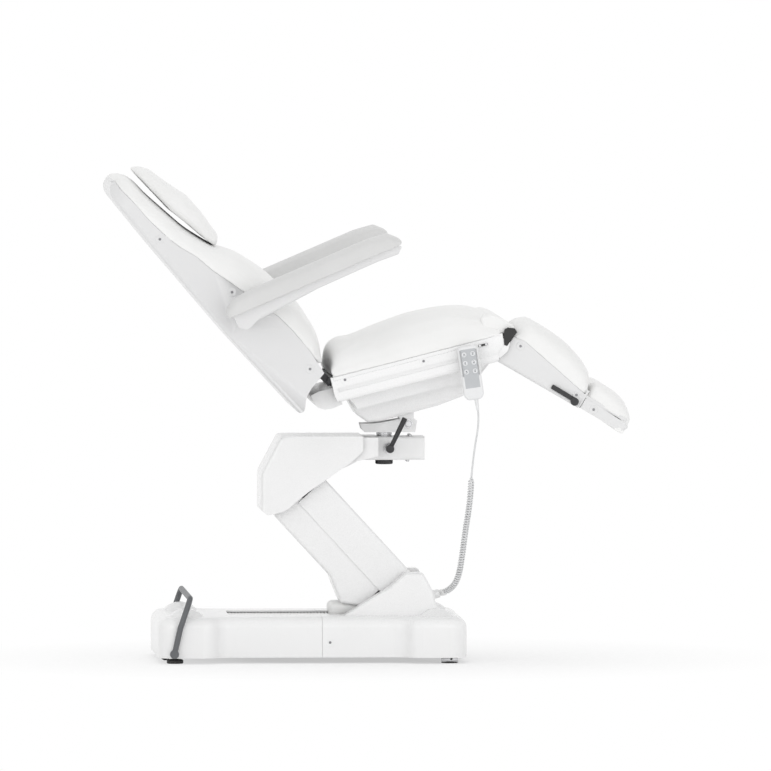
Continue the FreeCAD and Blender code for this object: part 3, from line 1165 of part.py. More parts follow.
def make_transport():
    foot = Vector(barX, 0, v.barFoot)
    side = v.barSide
    knee = Vector(barX + v.barLean, 0, v.barLow)
    top = Vector(barX + v.barLean + v.barTopLean, 0, v.barHigh)
    points = [foot + Vector(0, -side, 0), knee + Vector(0, -side, 0), top + Vector(0, -side, 0),
              top + Vector(0, side, 0), knee + Vector(0, side, 0), foot + Vector(0, side, 0)]
    edges = []
    last = points[0]
    for a, b, c in zip(points, points[1:], points[2:]):
        turn = (b - a).getAngle(c - b)
        reach = v.barBend * math.tan(turn / 2)
        start = b - (b - a).normalize() * reach
        end = b + (c - b).normalize() * reach
        middle = b + (((start + end) * 0.5) - b).normalize() * (
            v.barBend / math.cos(turn / 2) - v.barBend)
        edges.append(Part.LineSegment(last, start).toShape())
        edges.append(Part.Arc(start, middle, end).toShape())
        last = end
    edges.append(Part.LineSegment(last, points[-1]).toShape())
    bar = tube(Part.Wire(edges), v.barRadius)
    solids = [cross_rod(v.axleRadius, barX, v.barFoot, -side, side)]
    solids += both_sides(cross_rod(v.sleeveRadius, barX, v.barFoot, side - v.barRadius,
                                   side + v.barRadius))
    wheel_x, wheel_z = barX - v.crankLength, v.barFoot - v.crankDrop
    half = v.castorWidth / 2
    crank = extruded([(barX - v.axleRadius, v.barFoot + v.axleRadius),
                      (barX + v.axleRadius, v.barFoot + v.axleRadius),
                      (barX + v.axleRadius, v.barFoot - v.axleRadius),
                      (wheel_x + v.axleRadius, wheel_z - v.axleRadius),
                      (wheel_x - v.axleRadius, wheel_z - v.axleRadius),
                      (wheel_x - v.axleRadius, wheel_z + v.axleRadius)],
                     v.castorSide + half + v.panelProud,
                     v.castorSide + half + v.panelProud + v.crankThick)
    pin = cross_rod(v.castorPin, wheel_x, wheel_z, v.castorSide - half,
                    v.castorSide + half + v.panelProud)
    solids += both_sides(crank.fuse(pin))
    shape_part("transport_bar", bar.fuse(solids).removeSplitter())
    wheel = cross_rod(v.castorRadius, wheel_x, wheel_z, v.castorSide - half, v.castorSide + half)
    bore = cross_rod(v.castorPin + v.runClear, wheel_x, wheel_z, 0, v.barSide)
    for label, wheel in zip(("far", "near"), both_sides(wheel.cut(bore))):
        shape_part(f"castor_{label}", wheel)


make_base_covers()
make_chassis()
make_links()
make_arm_covers()
make_lift_drive()
make_head()
make_turntable()
make_seat()
make_back()
make_headrest()
make_armrests()
make_leg("near", -1)
make_leg("far", 1)
make_handset()
make_lead()
make_transport()

doc.recompute()
problems = [o.Name for o in doc.Objects if "Invalid" in o.State or "Error" in o.State]
for part in parts:
    if part.Shape.isNull() or not part.Shape.isValid():
        problems.append(part.Label)
if problems:
    raise ValueError("failed: " + ", ".join(problems))
os.makedirs("parts", exist_ok=True)
for part in parts:
    part.Shape.exportStep(f"parts/{part.Label}.step")
print(len(parts), "parts written")
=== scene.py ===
import bpy, bmesh, math
from mathutils import Matrix, Vector
from mathutils.bvhtree import BVHTree


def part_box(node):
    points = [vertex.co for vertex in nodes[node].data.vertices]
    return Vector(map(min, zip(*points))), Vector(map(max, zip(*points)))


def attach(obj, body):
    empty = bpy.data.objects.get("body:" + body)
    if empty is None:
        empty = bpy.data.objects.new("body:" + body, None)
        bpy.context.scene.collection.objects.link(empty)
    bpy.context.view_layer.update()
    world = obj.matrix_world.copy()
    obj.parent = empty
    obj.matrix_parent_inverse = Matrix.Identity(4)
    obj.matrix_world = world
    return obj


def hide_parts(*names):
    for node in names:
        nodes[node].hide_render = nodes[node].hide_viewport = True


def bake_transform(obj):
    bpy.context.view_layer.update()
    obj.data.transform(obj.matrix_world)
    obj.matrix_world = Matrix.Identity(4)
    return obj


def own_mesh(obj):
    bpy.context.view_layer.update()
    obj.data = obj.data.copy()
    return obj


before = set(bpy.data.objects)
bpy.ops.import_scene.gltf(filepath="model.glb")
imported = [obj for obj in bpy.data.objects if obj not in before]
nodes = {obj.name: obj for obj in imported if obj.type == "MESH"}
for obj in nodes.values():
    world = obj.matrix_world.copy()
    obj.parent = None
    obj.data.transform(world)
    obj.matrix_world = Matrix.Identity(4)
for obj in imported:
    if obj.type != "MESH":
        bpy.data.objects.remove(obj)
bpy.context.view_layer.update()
scene = bpy.context.scene
scene.view_settings.view_transform = "Standard"

# where the moving groups turn, in metres, each from the one that carries it
chairPlaces = {
    "tiltPin": (0.1098, 0.6396), "tilt": 14.2,
    "backHinge": (-0.1866, 0.176), "backAngle": 62.3,
    "knee": (0.2926, 0.1512), "legAngle": 45.2,
    "armPivot": (-0.2794, -0.057), "armTilt": 72.1,
}
bothSides = ((-1, "Near"), (1, "Far"))


def turned(angle, x, z):
    return Matrix.Translation((x, 0, z)) @ Matrix.Rotation(math.radians(angle), 4, "Y")


seatPlace = turned(-chairPlaces["tilt"], *chairPlaces["tiltPin"])
backPlace = seatPlace @ turned(chairPlaces["backAngle"], *chairPlaces["backHinge"])
legPlace = seatPlace @ turned(chairPlaces["legAngle"], *chairPlaces["knee"])
armPlace = backPlace @ turned(-chairPlaces["armTilt"], *chairPlaces["armPivot"])


# camera, floor and light

studio = {
    "aim": (0.0389, -0.22, 0.7496), "azimuth": -2.98, "elevation": 2.3, "distance": 60.0,
    "widthShown": 2.0817, "sensor": 36.0,
    "floorColour": (0.93, 0.93, 0.93), "floorRough": 0.9, "floorRadius": 30,
    "shadowStart": 0.3, "shadowFade": 0.9, "shadowShare": 0.5, "skyStrength": 0.85,
    # each lamp's place, power and size
    "keyLamp": ((1.5, -4.0, 1.0), 26, 3.0), "fillLamp": ((-2.4, -3.8, 0.9), 24, 3.0),
    "topLamp": ((0.2, 1.2, 3.8), 8, 2.6), "lampAim": (0, 0, 0.7),
}


def makeCamera(s):
    data = bpy.data.cameras.new("photoCamera")
    data.sensor_width = s["sensor"]
    data.lens = s["sensor"] * s["distance"] / s["widthShown"]
    data.clip_start, data.clip_end = 0.1, 200
    cam = bpy.data.objects.new("photoCamera", data)
    scene.collection.objects.link(cam)
    a, e = math.radians(s["azimuth"]), math.radians(s["elevation"])
    back = Vector((math.sin(a) * math.cos(e), -math.cos(a) * math.cos(e), math.sin(e)))
    cam.location = Vector(s["aim"]) + back * s["distance"]
    cam.rotation_euler = (-back).to_track_quat("-Z", "Y").to_euler()
    scene.camera = cam


makeCamera(studio)
print("camera set")


# shader sums

class Wire:
    # a socket with plain sums on it; each sum adds its Math node
    def __init__(self, tree, socket=None):
        self.tree, self.socket = tree, socket

    def node(self, kind, settings=None, inputs=None, out=0):
        made = self.tree.nodes.new("ShaderNode" + kind)
        for key, value in (settings or {}).items():
            if key == "stops":
                ramp = made.color_ramp
                while len(ramp.elements) < len(value):
                    ramp.elements.new(0.5)
                for element, (place, level) in zip(ramp.elements, value):
                    element.position = place
                    element.color = (level, level, level, 1)
            else:
                setattr(made, key, value)
        for key, value in (inputs or {}).items():
            if isinstance(value, Wire):
                self.tree.links.new(value.socket, made.inputs[key])
            else:
                made.inputs[key].default_value = value
        return Wire(self.tree, made.outputs[out])

    def maths(self, operation, first, second=0.0):
        return self.node("Math", {"operation": operation}, {0: first, 1: second})

    def __add__(self, other):
        return self.maths("ADD", self, other)

    def __sub__(self, other):
        return self.maths("SUBTRACT", self, other)

    def __rsub__(self, other):
        return self.maths("SUBTRACT", other, self)

    def __mul__(self, other):
        return self.maths("MULTIPLY", self, other)

    def __truediv__(self, other):
        return self.maths("DIVIDE", self, other)

    __radd__, __rmul__ = __add__, __mul__

    def held(self):
        return self.node("Clamp", {}, {0: self})


def newFinish(name, roughness=0.4, metallic=0.0, coat=0.0, coatRoughness=0.1, sheen=0.0):
    finish = bpy.data.materials.new(name)
    finish.use_nodes = True
    tree = finish.node_tree
    shader = tree.nodes["Principled BSDF"]
    shader.inputs["Roughness"].default_value = roughness
    shader.inputs["Metallic"].default_value = metallic
    shader.inputs["Coat Weight"].default_value = coat
    shader.inputs["Coat Roughness"].default_value = coatRoughness
    shader.inputs["Sheen Weight"].default_value = sheen
    start = Wire(tree)
    place = start.node("TexCoord", out=3)
    return finish, tree, shader, start, place


def blendOf(wire, factor, dark, light):
    # a colour between two, led by a 0 to 1 value
    return wire.node("Mix", {"data_type": "RGBA"}, {0: factor, 6: (*dark, 1), 7: (*light, 1)}, out=2)


def finishLinks(tree, shader, colour, rough, height, strength, distance):
    if colour:
        tree.links.new(colour.socket, shader.inputs["Base Color"])
    if rough:
        tree.links.new(rough.socket, shader.inputs["Roughness"])
    if height:
        bump = Wire(tree).node("Bump", {}, {"Strength": strength, "Distance": distance,
                                            "Height": height})
        tree.links.new(bump.socket, shader.inputs["Normal"])


def vinylFinish(name, light, dark, grain=900, shine=0.4):
    # smooth coated upholstery: fine leather grain, soft creases, faint handling marks
    finish, tree, shader, start, place = newFinish(name, shine, coat=0.06, coatRoughness=0.35)
    cells = start.node("TexVoronoi", {"feature": "DISTANCE_TO_EDGE"},
                       {"Vector": place, "Scale": grain, "Randomness": 0.9})
    pores = start.node("TexNoise", {}, {"Vector": place, "Scale": grain * 1.7, "Detail": 3.0})
    folds = start.node("TexNoise", {}, {"Vector": place, "Scale": 26.0, "Detail": 4.0,
                                        "Roughness": 0.55, "Distortion": 0.8})
    marks = start.node("TexNoise", {}, {"Vector": place, "Scale": 7.0, "Detail": 5.0,
                                        "Roughness": 0.6})
    height = (cells * 3.0).held() * 0.6 + pores * 0.4 + folds * 1.6
    tint = (marks * 1.2 - 0.1).held()
    finishLinks(tree, shader, blendOf(start, tint, dark, light),
                tint * 0.1 + (shine - 0.07) + pores * 0.05, height, 0.22, 0.0007)
    return finish


def mouldedFinish(name, light, dark, shine=0.28, peel=150, depth=0.00022):
    # glossy moulded cover: orange peel, flow marks and a little floor dust low down
    finish, tree, shader, start, place = newFinish(name, shine, coat=0.25, coatRoughness=0.12)
    skin = start.node("TexNoise", {}, {"Vector": place, "Scale": peel, "Detail": 2.0})
    flow = start.node("TexNoise", {}, {"Vector": place, "Scale": 4.5, "Detail": 4.0,
                                       "Distortion": 0.6})
    specks = start.node("TexVoronoi", {}, {"Vector": place, "Scale": 420.0})
    heightOf = start.node("SeparateXYZ", {}, {"Vector": place}, out=2)
    dust = (1.0 - heightOf / 0.12).held() * (flow * 1.4 - 0.25).held() * 0.45
    tint = (flow * 0.9 + 0.15 - dust).held()
    finishLinks(tree, shader, blendOf(start, tint, dark, light),
                (1.0 - specks).held() * 0.05 + (shine - 0.03) + dust * 0.3,
                skin + flow * 2.0, 0.14, depth)
    return finish


def paintedFinish(name, light, dark, shine=0.36, grain=1300):
    # powder coat: fine pebbled skin that wears a little darker in patches
    finish, tree, shader, start, place = newFinish(name, shine)
    pebbles = start.node("TexVoronoi", {"feature": "SMOOTH_F1"},
                         {"Vector": place, "Scale": grain, "Smoothness": 0.6})
    patches = start.node("TexNoise", {}, {"Vector": place, "Scale": 14.0, "Detail": 5.0})
    tint = (patches * 1.3 - 0.15).held()
    finishLinks(tree, shader, blendOf(start, tint, dark, light),
                tint * 0.12 + (shine - 0.05), pebbles, 0.3, 0.00012)
    return finish


def platedFinish(name, light, dark, shine=0.24, rings=260):
    # turned and plated steel: fine rings round the upright axis and faint smears
    finish, tree, shader, start, place = newFinish(name, shine, 1.0)
    heightOf = start.node("SeparateXYZ", {}, {"Vector": place}, out=2)
    turning = start.node("TexNoise", {"noise_dimensions": "1D"},
                         {"W": heightOf * rings, "Scale": 12.0, "Detail": 3.0})
    smears = start.node("TexNoise", {}, {"Vector": place, "Scale": 60.0, "Detail": 4.0})
    tint = (smears * 0.8 + turning * 0.4 - 0.1).held()
    finishLinks(tree, shader, blendOf(start, tint, dark, light), tint * 0.14 + (shine - 0.06),
                turning, 0.2, 0.00006)
    return finish


def rubberFinish(name, light, dark, shine=0.62, grain=700):
    finish, tree, shader, start, place = newFinish(name, shine, sheen=0.08)
    grains = start.node("TexNoise", {}, {"Vector": place, "Scale": grain, "Detail": 4.0})
    wear = start.node("TexNoise", {}, {"Vector": place, "Scale": 45.0, "Detail": 5.0})
    tint = (wear * 1.5 - 0.3).held()
    finishLinks(tree, shader, blendOf(start, tint, dark, light), tint * 0.16 + (shine - 0.08),
                grains, 0.35, 0.0002)
    return finish


def filmFinish(name, light, dark, shine=0.3):
    # printed keypad film: an even tone with a fine tooth
    finish, tree, shader, start, place = newFinish(name, shine)
    tooth = start.node("TexNoise", {}, {"Vector": place, "Scale": 2600.0, "Detail": 2.0})
    drift = start.node("TexNoise", {}, {"Vector": place, "Scale": 40.0, "Detail": 3.0})
    finishLinks(tree, shader, blendOf(start, drift, dark, light), drift * 0.1 + (shine - 0.05),
                tooth, 0.25, 0.00004)
    return finish


white, ivory = (0.9, 0.9, 0.895), (0.83, 0.83, 0.82)
vinyl = vinylFinish("vinyl", white, ivory)
# the arm pads take the white seat vinyl set darker, as painted shade
shadedArmVinyl = vinylFinish("shadedArmVinyl", (0.69, 0.69, 0.687), (0.635, 0.635, 0.63), grain=1000)
vinylWelt = vinylFinish("vinylWelt", (0.86, 0.86, 0.855), (0.78, 0.78, 0.77), grain=1100)
cover = mouldedFinish("cover", (0.885, 0.885, 0.885), (0.83, 0.83, 0.83))
# the back shell and the leg, foot and arm-base mouldings take the white cover moulding set darker,
# as painted shade
shadedBackCover = mouldedFinish("shadedBackCover", (0.765, 0.765, 0.768), (0.715, 0.715, 0.718), shine=0.34)
shadedLegCover = mouldedFinish("shadedLegCover", (0.76, 0.76, 0.762), (0.72, 0.72, 0.722), shine=0.3)
casting = paintedFinish("casting", (0.9, 0.9, 0.9), (0.84, 0.84, 0.84), shine=0.3)
greyPaint = paintedFinish("greyPaint", (0.66, 0.67, 0.68), (0.56, 0.57, 0.58))
barPaint = paintedFinish("barPaint", (0.135, 0.14, 0.148), (0.085, 0.09, 0.096), shine=0.42)
blackPlastic = paintedFinish("blackPlastic", (0.022, 0.022, 0.024), (0.013, 0.013, 0.014),
                             shine=0.34)
blackRubber = rubberFinish("blackRubber", (0.03, 0.03, 0.03), (0.016, 0.016, 0.016))
plated = platedFinish("plated", (0.62, 0.62, 0.63), (0.42, 0.42, 0.43))
handsetShell = mouldedFinish("handsetShell", (0.8, 0.805, 0.81), (0.74, 0.745, 0.75), shine=0.4,
                             peel=900, depth=0.0001)
keypadGrey = filmFinish("keypadGrey", (0.52, 0.535, 0.55), (0.46, 0.475, 0.49))
keyWhite = filmFinish("keyWhite", (0.76, 0.77, 0.78), (0.7, 0.71, 0.72))
glyphGrey = filmFinish("glyphGrey", (0.1, 0.11, 0.13), (0.07, 0.08, 0.1))
leadSkin = rubberFinish("leadSkin", (0.74, 0.745, 0.75), (0.64, 0.645, 0.65), shine=0.42,
                        grain=1500)
screwGrey = platedFinish("screwGrey", (0.3, 0.3, 0.31), (0.18, 0.18, 0.19), shine=0.34)
blackPaint = paintedFinish("blackPaint", (0.04, 0.04, 0.043), (0.022, 0.022, 0.024), shine=0.4)
print("finishes made")


# shared tools

merge = {"packed": 0.00002, "spun": 0.00001}  # how close two points are taken as one


def newPiece(name, bm, finish, body=None, smooth=True, crease=None):
    # smooth faces, with sharp edges past the crease where one is given, in degrees
    mesh = bpy.data.meshes.new(name)
    bm.to_mesh(mesh)
    bm.free()
    for face in mesh.polygons:
        face.use_smooth = smooth
    if crease:
        mesh.set_sharp_from_angle(angle=math.radians(crease))
    mesh.materials.append(finish)
    piece = bpy.data.objects.new(name, mesh)
    scene.collection.objects.link(piece)
    if body:
        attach(piece, body)
    return piece


def paint(names, finish):
    for name in names.split():
        mesh = nodes[name].data
        mesh.materials.clear()
        mesh.materials.append(finish)


def finishMesh(piece, *modifiers):
    # applies the modifiers in turn, so that what follows reads the final mesh
    for kind, settings in modifiers:
        made = piece.modifiers.new(kind, kind)
        for key, value in settings.items():
            setattr(made, key, value)
    shown = piece.evaluated_get(bpy.context.evaluated_depsgraph_get())
    mesh = bpy.data.meshes.new_from_object(shown)
    old = piece.data
    piece.modifiers.clear()
    piece.data = mesh
    bpy.data.meshes.remove(old)
    return piece


def plateOf(bm, outline, depth, place=Matrix()):
    # a flat outline of points, drawn out along Y
    face = bm.faces.new([bm.verts.new(place @ Vector(point)) for point in outline])
    made = bmesh.ops.extrude_face_region(bm, geom=[face])["geom"]
    bmesh.ops.translate(bm, vec=place.to_3x3() @ Vector((0, depth, 0)),
                        verts=[e for e in made if isinstance(e, bmesh.types.BMVert)])


def splineLine(points, resolution=12):
    # the smooth line of a NURBS spline whose control points these are
    curve = bpy.data.curves.new("route", "CURVE")
    curve.dimensions = "3D"
    curve.resolution_u = resolution
    spline = curve.splines.new("NURBS")
    spline.points.add(len(points) - 1)
    for point, place in zip(spline.points, points):
        point.co = (*place, 1)
    spline.order_u = 3
    spline.use_endpoint_u = True
    holder = bpy.data.objects.new("route", curve)
    scene.collection.objects.link(holder)
    bpy.context.view_layer.update()
    shown = holder.evaluated_get(bpy.context.evaluated_depsgraph_get())
    mesh = bpy.data.meshes.new_from_object(shown)
    line = [v.co.copy() for v in mesh.vertices]
    bpy.data.objects.remove(holder)
    bpy.data.curves.remove(curve)
    bpy.data.meshes.remove(mesh)
    return line


def tubeAlong(name, line, radius, finish, segments=10):
    # a closed round tube whose rings sit on the line's own points
    bm = bmesh.new()
    side = Vector((0, 1, 0))
    rings = []
    for i, place in enumerate(line):
        way = (line[min(i + 1, len(line) - 1)] - line[max(i - 1, 0)]).normalized()
        side = (side - way * side.dot(way)).normalized()
        turn = Matrix((side, way.cross(side), way)).transposed().to_4x4()
        made = bmesh.ops.create_circle(bm, segments=segments, radius=radius,
                                       matrix=Matrix.Translation(place) @ turn)
        rings.append(made["verts"])
    edgesOf = [list({e for v in r for e in v.link_edges}) for r in rings]
    for a, b in zip(edgesOf, edgesOf[1:]):
        bmesh.ops.bridge_loops(bm, edges=a + b)
    bmesh.ops.holes_fill(bm, edges=[e for e in bm.edges if len(e.link_faces) < 2], sides=segments)
    bmesh.ops.recalc_face_normals(bm, faces=bm.faces)
    return newPiece(name, bm, finish)


# the lead: two plain stretches and the curls; the curls ride the base

lead = {
    "route": [(0.2824, -0.331, 0.6867), (0.2868, -0.331, 0.657), (0.272, -0.316, 0.572),
              (0.267, -0.296, 0.504)],
    "curlRoute": [(0.267, -0.296, 0.504), (0.266, -0.284, 0.466), (0.262, -0.262, 0.416),
                  (0.254, -0.236, 0.358), (0.248, -0.208, 0.296), (0.24, -0.178, 0.232),
                  (0.224, -0.142, 0.197), (0.205, -0.112, 0.186)],
    "wireRadius": 0.0025, "curlRadius": 0.0062, "curls": 50, "perCurl": 14, "drawIn": 1.5,
    "fineness": 24, "pressedAlong": (0.503, 0, 0.865), "pressedShare": 0.034,
}


def alongLine(line, distance):
    for a, b in zip(line, line[1:]):
        step = (b - a).length
        if distance <= step or b is line[-1]:
            return a.lerp(b, min(1, distance / step)), (b - a).normalized()
        distance -= step


def lineLength(line):
    return sum((b - a).length for a, b in zip(line, line[1:]))


def curlLine(s):
    # a helix about the smooth line of the route, its ends drawn in to the line
    middle = splineLine([Vector(p) for p in s["curlRoute"]], s["fineness"])
    whole = lineLength(middle)
    steps = s["curls"] * s["perCurl"]
    turnsAlong = []
    for i in range(steps + 1):
        place, way = alongLine(middle, whole * i / steps)
        side = way.cross(Vector((0, 1, 0))).normalized()
        up = way.cross(side)
        turnsDone = i / s["perCurl"]
        out = s["curlRadius"] * min(1, turnsDone / s["drawIn"],
                                    (s["curls"] - turnsDone) / s["drawIn"])
        angle = 2 * math.pi * turnsDone
        turnsAlong.append(place + (side * math.cos(angle) + up * math.sin(angle)) * out)
    return turnsAlong


def makeLead(s):
    run = splineLine([Vector(p) for p in s["route"]], s["fineness"])
    half = len(run) // 2
    top = tubeAlong("leadTop", run[:half + 1], s["wireRadius"], leadSkin)
    low = tubeAlong("leadLow", run[half:], s["wireRadius"], leadSkin)
    curls = curlLine(s)
    coil = tubeAlong("leadCurls", curls, s["wireRadius"], leadSkin)
    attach(coil, "base")
    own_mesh(coil)
    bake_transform(top)
    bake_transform(low)
    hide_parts("cord_straight")
    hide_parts("cord_coil")
    for piece, line in ((top, run[:half + 1]), (low, run[half:]), (coil, curls)):
        lineLength(line)
        print(piece.name, "length", round(lineLength(line), 3))


makeLead(lead)


# the upholstery: each pad starts from its imported solid, is smoothed and swells a little;
# those given a rim sit on the rim of the shell that carries them

upholstery = {
    # voxel and swell in metres, the swell being how far a point may leave its solid
    "seatPad": {"node": "seat_cushion", "body": "seat", "place": seatPlace, "voxel": 0.008,
                "rounds": 46, "swell": 0.003, "fill": 0.9, "squareEdge": True, "rearEnd": -0.1795,
                "rear": {"start": -0.1, "raise": 6.8, "widen": 1.3}},
    "backPad": {"node": "back_cushion", "body": "back", "place": backPlace, "voxel": 0.008,
                "rounds": 34, "swell": 0.004, "fill": 0.85, "rim": "back_shell",
                "rimSides": (-0.2825, 0.2825), "roundTop": True, "squareEdge": True},
    "pillowPad": {"node": "headrest_pillow", "body": "headrest", "place": backPlace,
                  "voxel": 0.005, "rounds": 5, "swell": 0.002, "fill": 0.8},
}
sidePads = {
    # one on each side; a place across is that of the far one
    "armPad": {"node": "armrest_pad", "body": "armrest", "place": armPlace, "voxel": 0.005,
               "rounds": 4, "swell": 0.002, "fill": 0.9, "finish": shadedArmVinyl, "squareEdge": True},
    "legPad": {"node": "leg_cushion", "body": "leg", "place": legPlace, "voxel": 0.006,
               "rounds": 30, "swell": 0.004, "fill": 0.9, "rim": "leg_shell",
               "rimSides": (0.016, 0.282), "squareEdge": True},
    "footPad": {"node": "foot_cushion", "body": "foot", "place": legPlace, "voxel": 0.005,
                "rounds": 24, "swell": 0.003, "fill": 0.9, "drawnIn": (0.35, 0.413, 0.399),
                "squareEdge": True, "noseInset": 0.0005,
                "nose": [(0.374, 0.014), (0.3955, 0.005), (0.408, -0.0085), (0.4125, -0.021),
                         (0.4115, -0.035), (0.404, -0.0415), (0.374, -0.0405)]},
}
for padName, padSizes in sidePads.items():
    for padSide, padMark in bothSides:
        sided = dict(padSizes)
        for key in {"node", "body", "rim"} & set(sided):
            sided[key] += "_" + padMark.lower()
        if "rimSides" in sided:
            sided["rimSides"] = sorted(padSide * place for place in sided["rimSides"])
        upholstery[padName + padMark] = sided
padStart = {"pressure": 4.0, "frames": 20, "floorSlope": -0.5, "rimReach": 0.02, "rimGap": 0.0004,
            "smoothShare": 0.5}
edgeReach = {"side": 3.5, "floor": 1.3, "inset": 2.2}  # in voxels
topRound = {"length": 0.781, "overrunShare": 1.012, "reach": 0.085, "half": 0.288,
            "centre": (0.7525, -0.0695), "radius": 0.0375, "cuts": 25, "crease": 32,
            "widenShare": 0.85, "widen": 1.16, "overShell": 0.002}


def topShare(u):
    # how much of its width the back keeps at u, so that its top corners are rounded
    start = topRound["length"] * topRound["overrunShare"] - topRound["reach"]
    into = (u - start) / topRound["reach"]
    if into <= 0:
        return 1.0
    lost = topRound["reach"] * (1 - math.sqrt(max(0.0, 1 - min(into, 1.0) ** 2)))
    return 1 - lost / topRound["half"]


def roundTop(verts, place):
    away = place.inverted()
    for vert in verts:
        local = away @ vert.co
        local.y *= topShare(-local.x)
        out = Vector((-local.x - topRound["centre"][0], local.z - topRound["centre"][1]))
        if out.x > 0 and out.length > topRound["radius"]:
            out *= topRound["radius"] / out.length
            local.x, local.z = -topRound["centre"][0] - out.x, topRound["centre"][1] + out.y
        vert.co = place @ local


def squareEdge(bm, place, voxel):
    # the remesh leaves the lower edge chamfered; its points go out flush with the side
    away = place.inverted()
    local = {v: away @ v.co for v in bm.verts}
    middle = (min(p.y for p in local.values()) + max(p.y for p in local.values())) / 2
    floors, sides = {}, {}
    for p in local.values():
        strip = int(p.x / voxel)
        floors[strip] = min(floors.get(strip, 9), p.z)
    for p in local.values():
        strip = int(p.x / voxel)
        if p.z < floors[strip] + edgeReach["side"] * voxel:
            sides[strip] = max(sides.get(strip, 0), abs(p.y - middle))
    squared = []
    for vert, p in local.items():
        strip = int(p.x / voxel)
        low = p.z < floors[strip] + edgeReach["floor"] * voxel
        if low and abs(p.y - middle) > sides[strip] - edgeReach["inset"] * voxel:
            p.y = middle + math.copysign(sides[strip], p.y - middle)
            vert.co = place @ p
            squared.append(vert)
    return squared


def drawIn(verts, place, start, end, wanted):
    # what lies past the start is drawn in, so that the end comes where it is wanted
    away = place.inverted()
    for vert in verts:
        local = away @ vert.co
        if local.x > start:
            local.x = start + (local.x - start) * (wanted - start) / (end - start)
            vert.co = place @ local


def addNose(bm, place, outline, inset):
    # the foot pad is carried round the front end of its tray
    away = place.inverted()
    sides = [(away @ vert.co).y for vert in bm.verts]
    low, high = min(sides) + inset, max(sides) - inset
    plateOf(bm, [(x, low, z) for x, z in outline], high - low, place)


def widenPast(verts, place, voxel, start, most, wide=None):
    # past the start, each strip across the pad is widened to the width wanted or the widest
    away = place.inverted()
    sides = {}
    for vert in verts:
        local = away @ vert.co
        strip = int(local.x / voxel)
        sides[strip] = max(sides.get(strip, 0), abs(local.y))
    wide = wide or max(sides.values())
    for vert in verts:
        local = away @ vert.co
        side = sides[int(local.x / voxel)]
        if local.x < start and side < wide:
            local.y *= min(most, wide / side)
            vert.co = place @ local


def raiseRear(verts, place, start, rate):
    # the pad's rear stands fuller than its solid, level with the frame's end
    away = place.inverted()
    low = min((away @ vert.co).z for vert in verts)
    for vert in verts:
        local = away @ vert.co
        if local.x < start:
            local.z = low + (local.z - low) * (1 + rate * (start - local.x))
            vert.co = place @ local


def holdRear(piece, place, rear):
    # the rear end stands upright over the frame's edge
    away = place.inverted()
    for vert in piece.data.vertices:
        local = away @ vert.co
        if local.x < rear:
            local.x = rear
            vert.co = place @ local


def seatOnRim(verts, place, s):
    # the underside's edge drops or rises to the shell's rim, so that no slit is left
    away = place.inverted()
    shell = BVHTree.FromPolygons([away @ v.co for v in nodes[s["rim"]].data.vertices],
                                 [p.vertices[:] for p in nodes[s["rim"]].data.polygons])
    low, high = s["rimSides"]
    for vert in verts:
        local = away @ vert.co
        side = min(max(local.y, low), high)
        start = Vector((local.x, side, local.z + padStart["rimReach"]))
        hit = shell.ray_cast(start, Vector((0, 0, -1)), 2 * padStart["rimReach"])[0]
        if hit is not None:
            local.z = hit.z + padStart["rimGap"]
            vert.co = place @ local


def swellPad(piece, held, s):
    # pressure from inside with the underside held; no point may leave by more than the cap
    group = piece.vertex_groups.new(name="held")
    group.add(held, 1.0, "REPLACE")
    cloth = piece.modifiers.new("swell", "CLOTH")
    cloth.settings.use_pressure = True
    cloth.settings.uniform_pressure_force = padStart["pressure"]
    cloth.settings.vertex_group_mass = "held"
    cloth.settings.effector_weights.gravity = 0
    cloth.point_cache.frame_end = padStart["frames"]
    for step in range(1, padStart["frames"] + 1):
        scene.frame_set(step)
    shown = piece.evaluated_get(bpy.context.evaluated_depsgraph_get()).to_mesh()
    swollen = [v.co.copy() for v in shown.vertices]
    piece.modifiers.clear()
    for vert, place in zip(piece.data.vertices, swollen):
        move = place - vert.co
        if move.length > s["swell"]:
            move *= s["swell"] / move.length
        vert.co += move
    scene.frame_set(1)


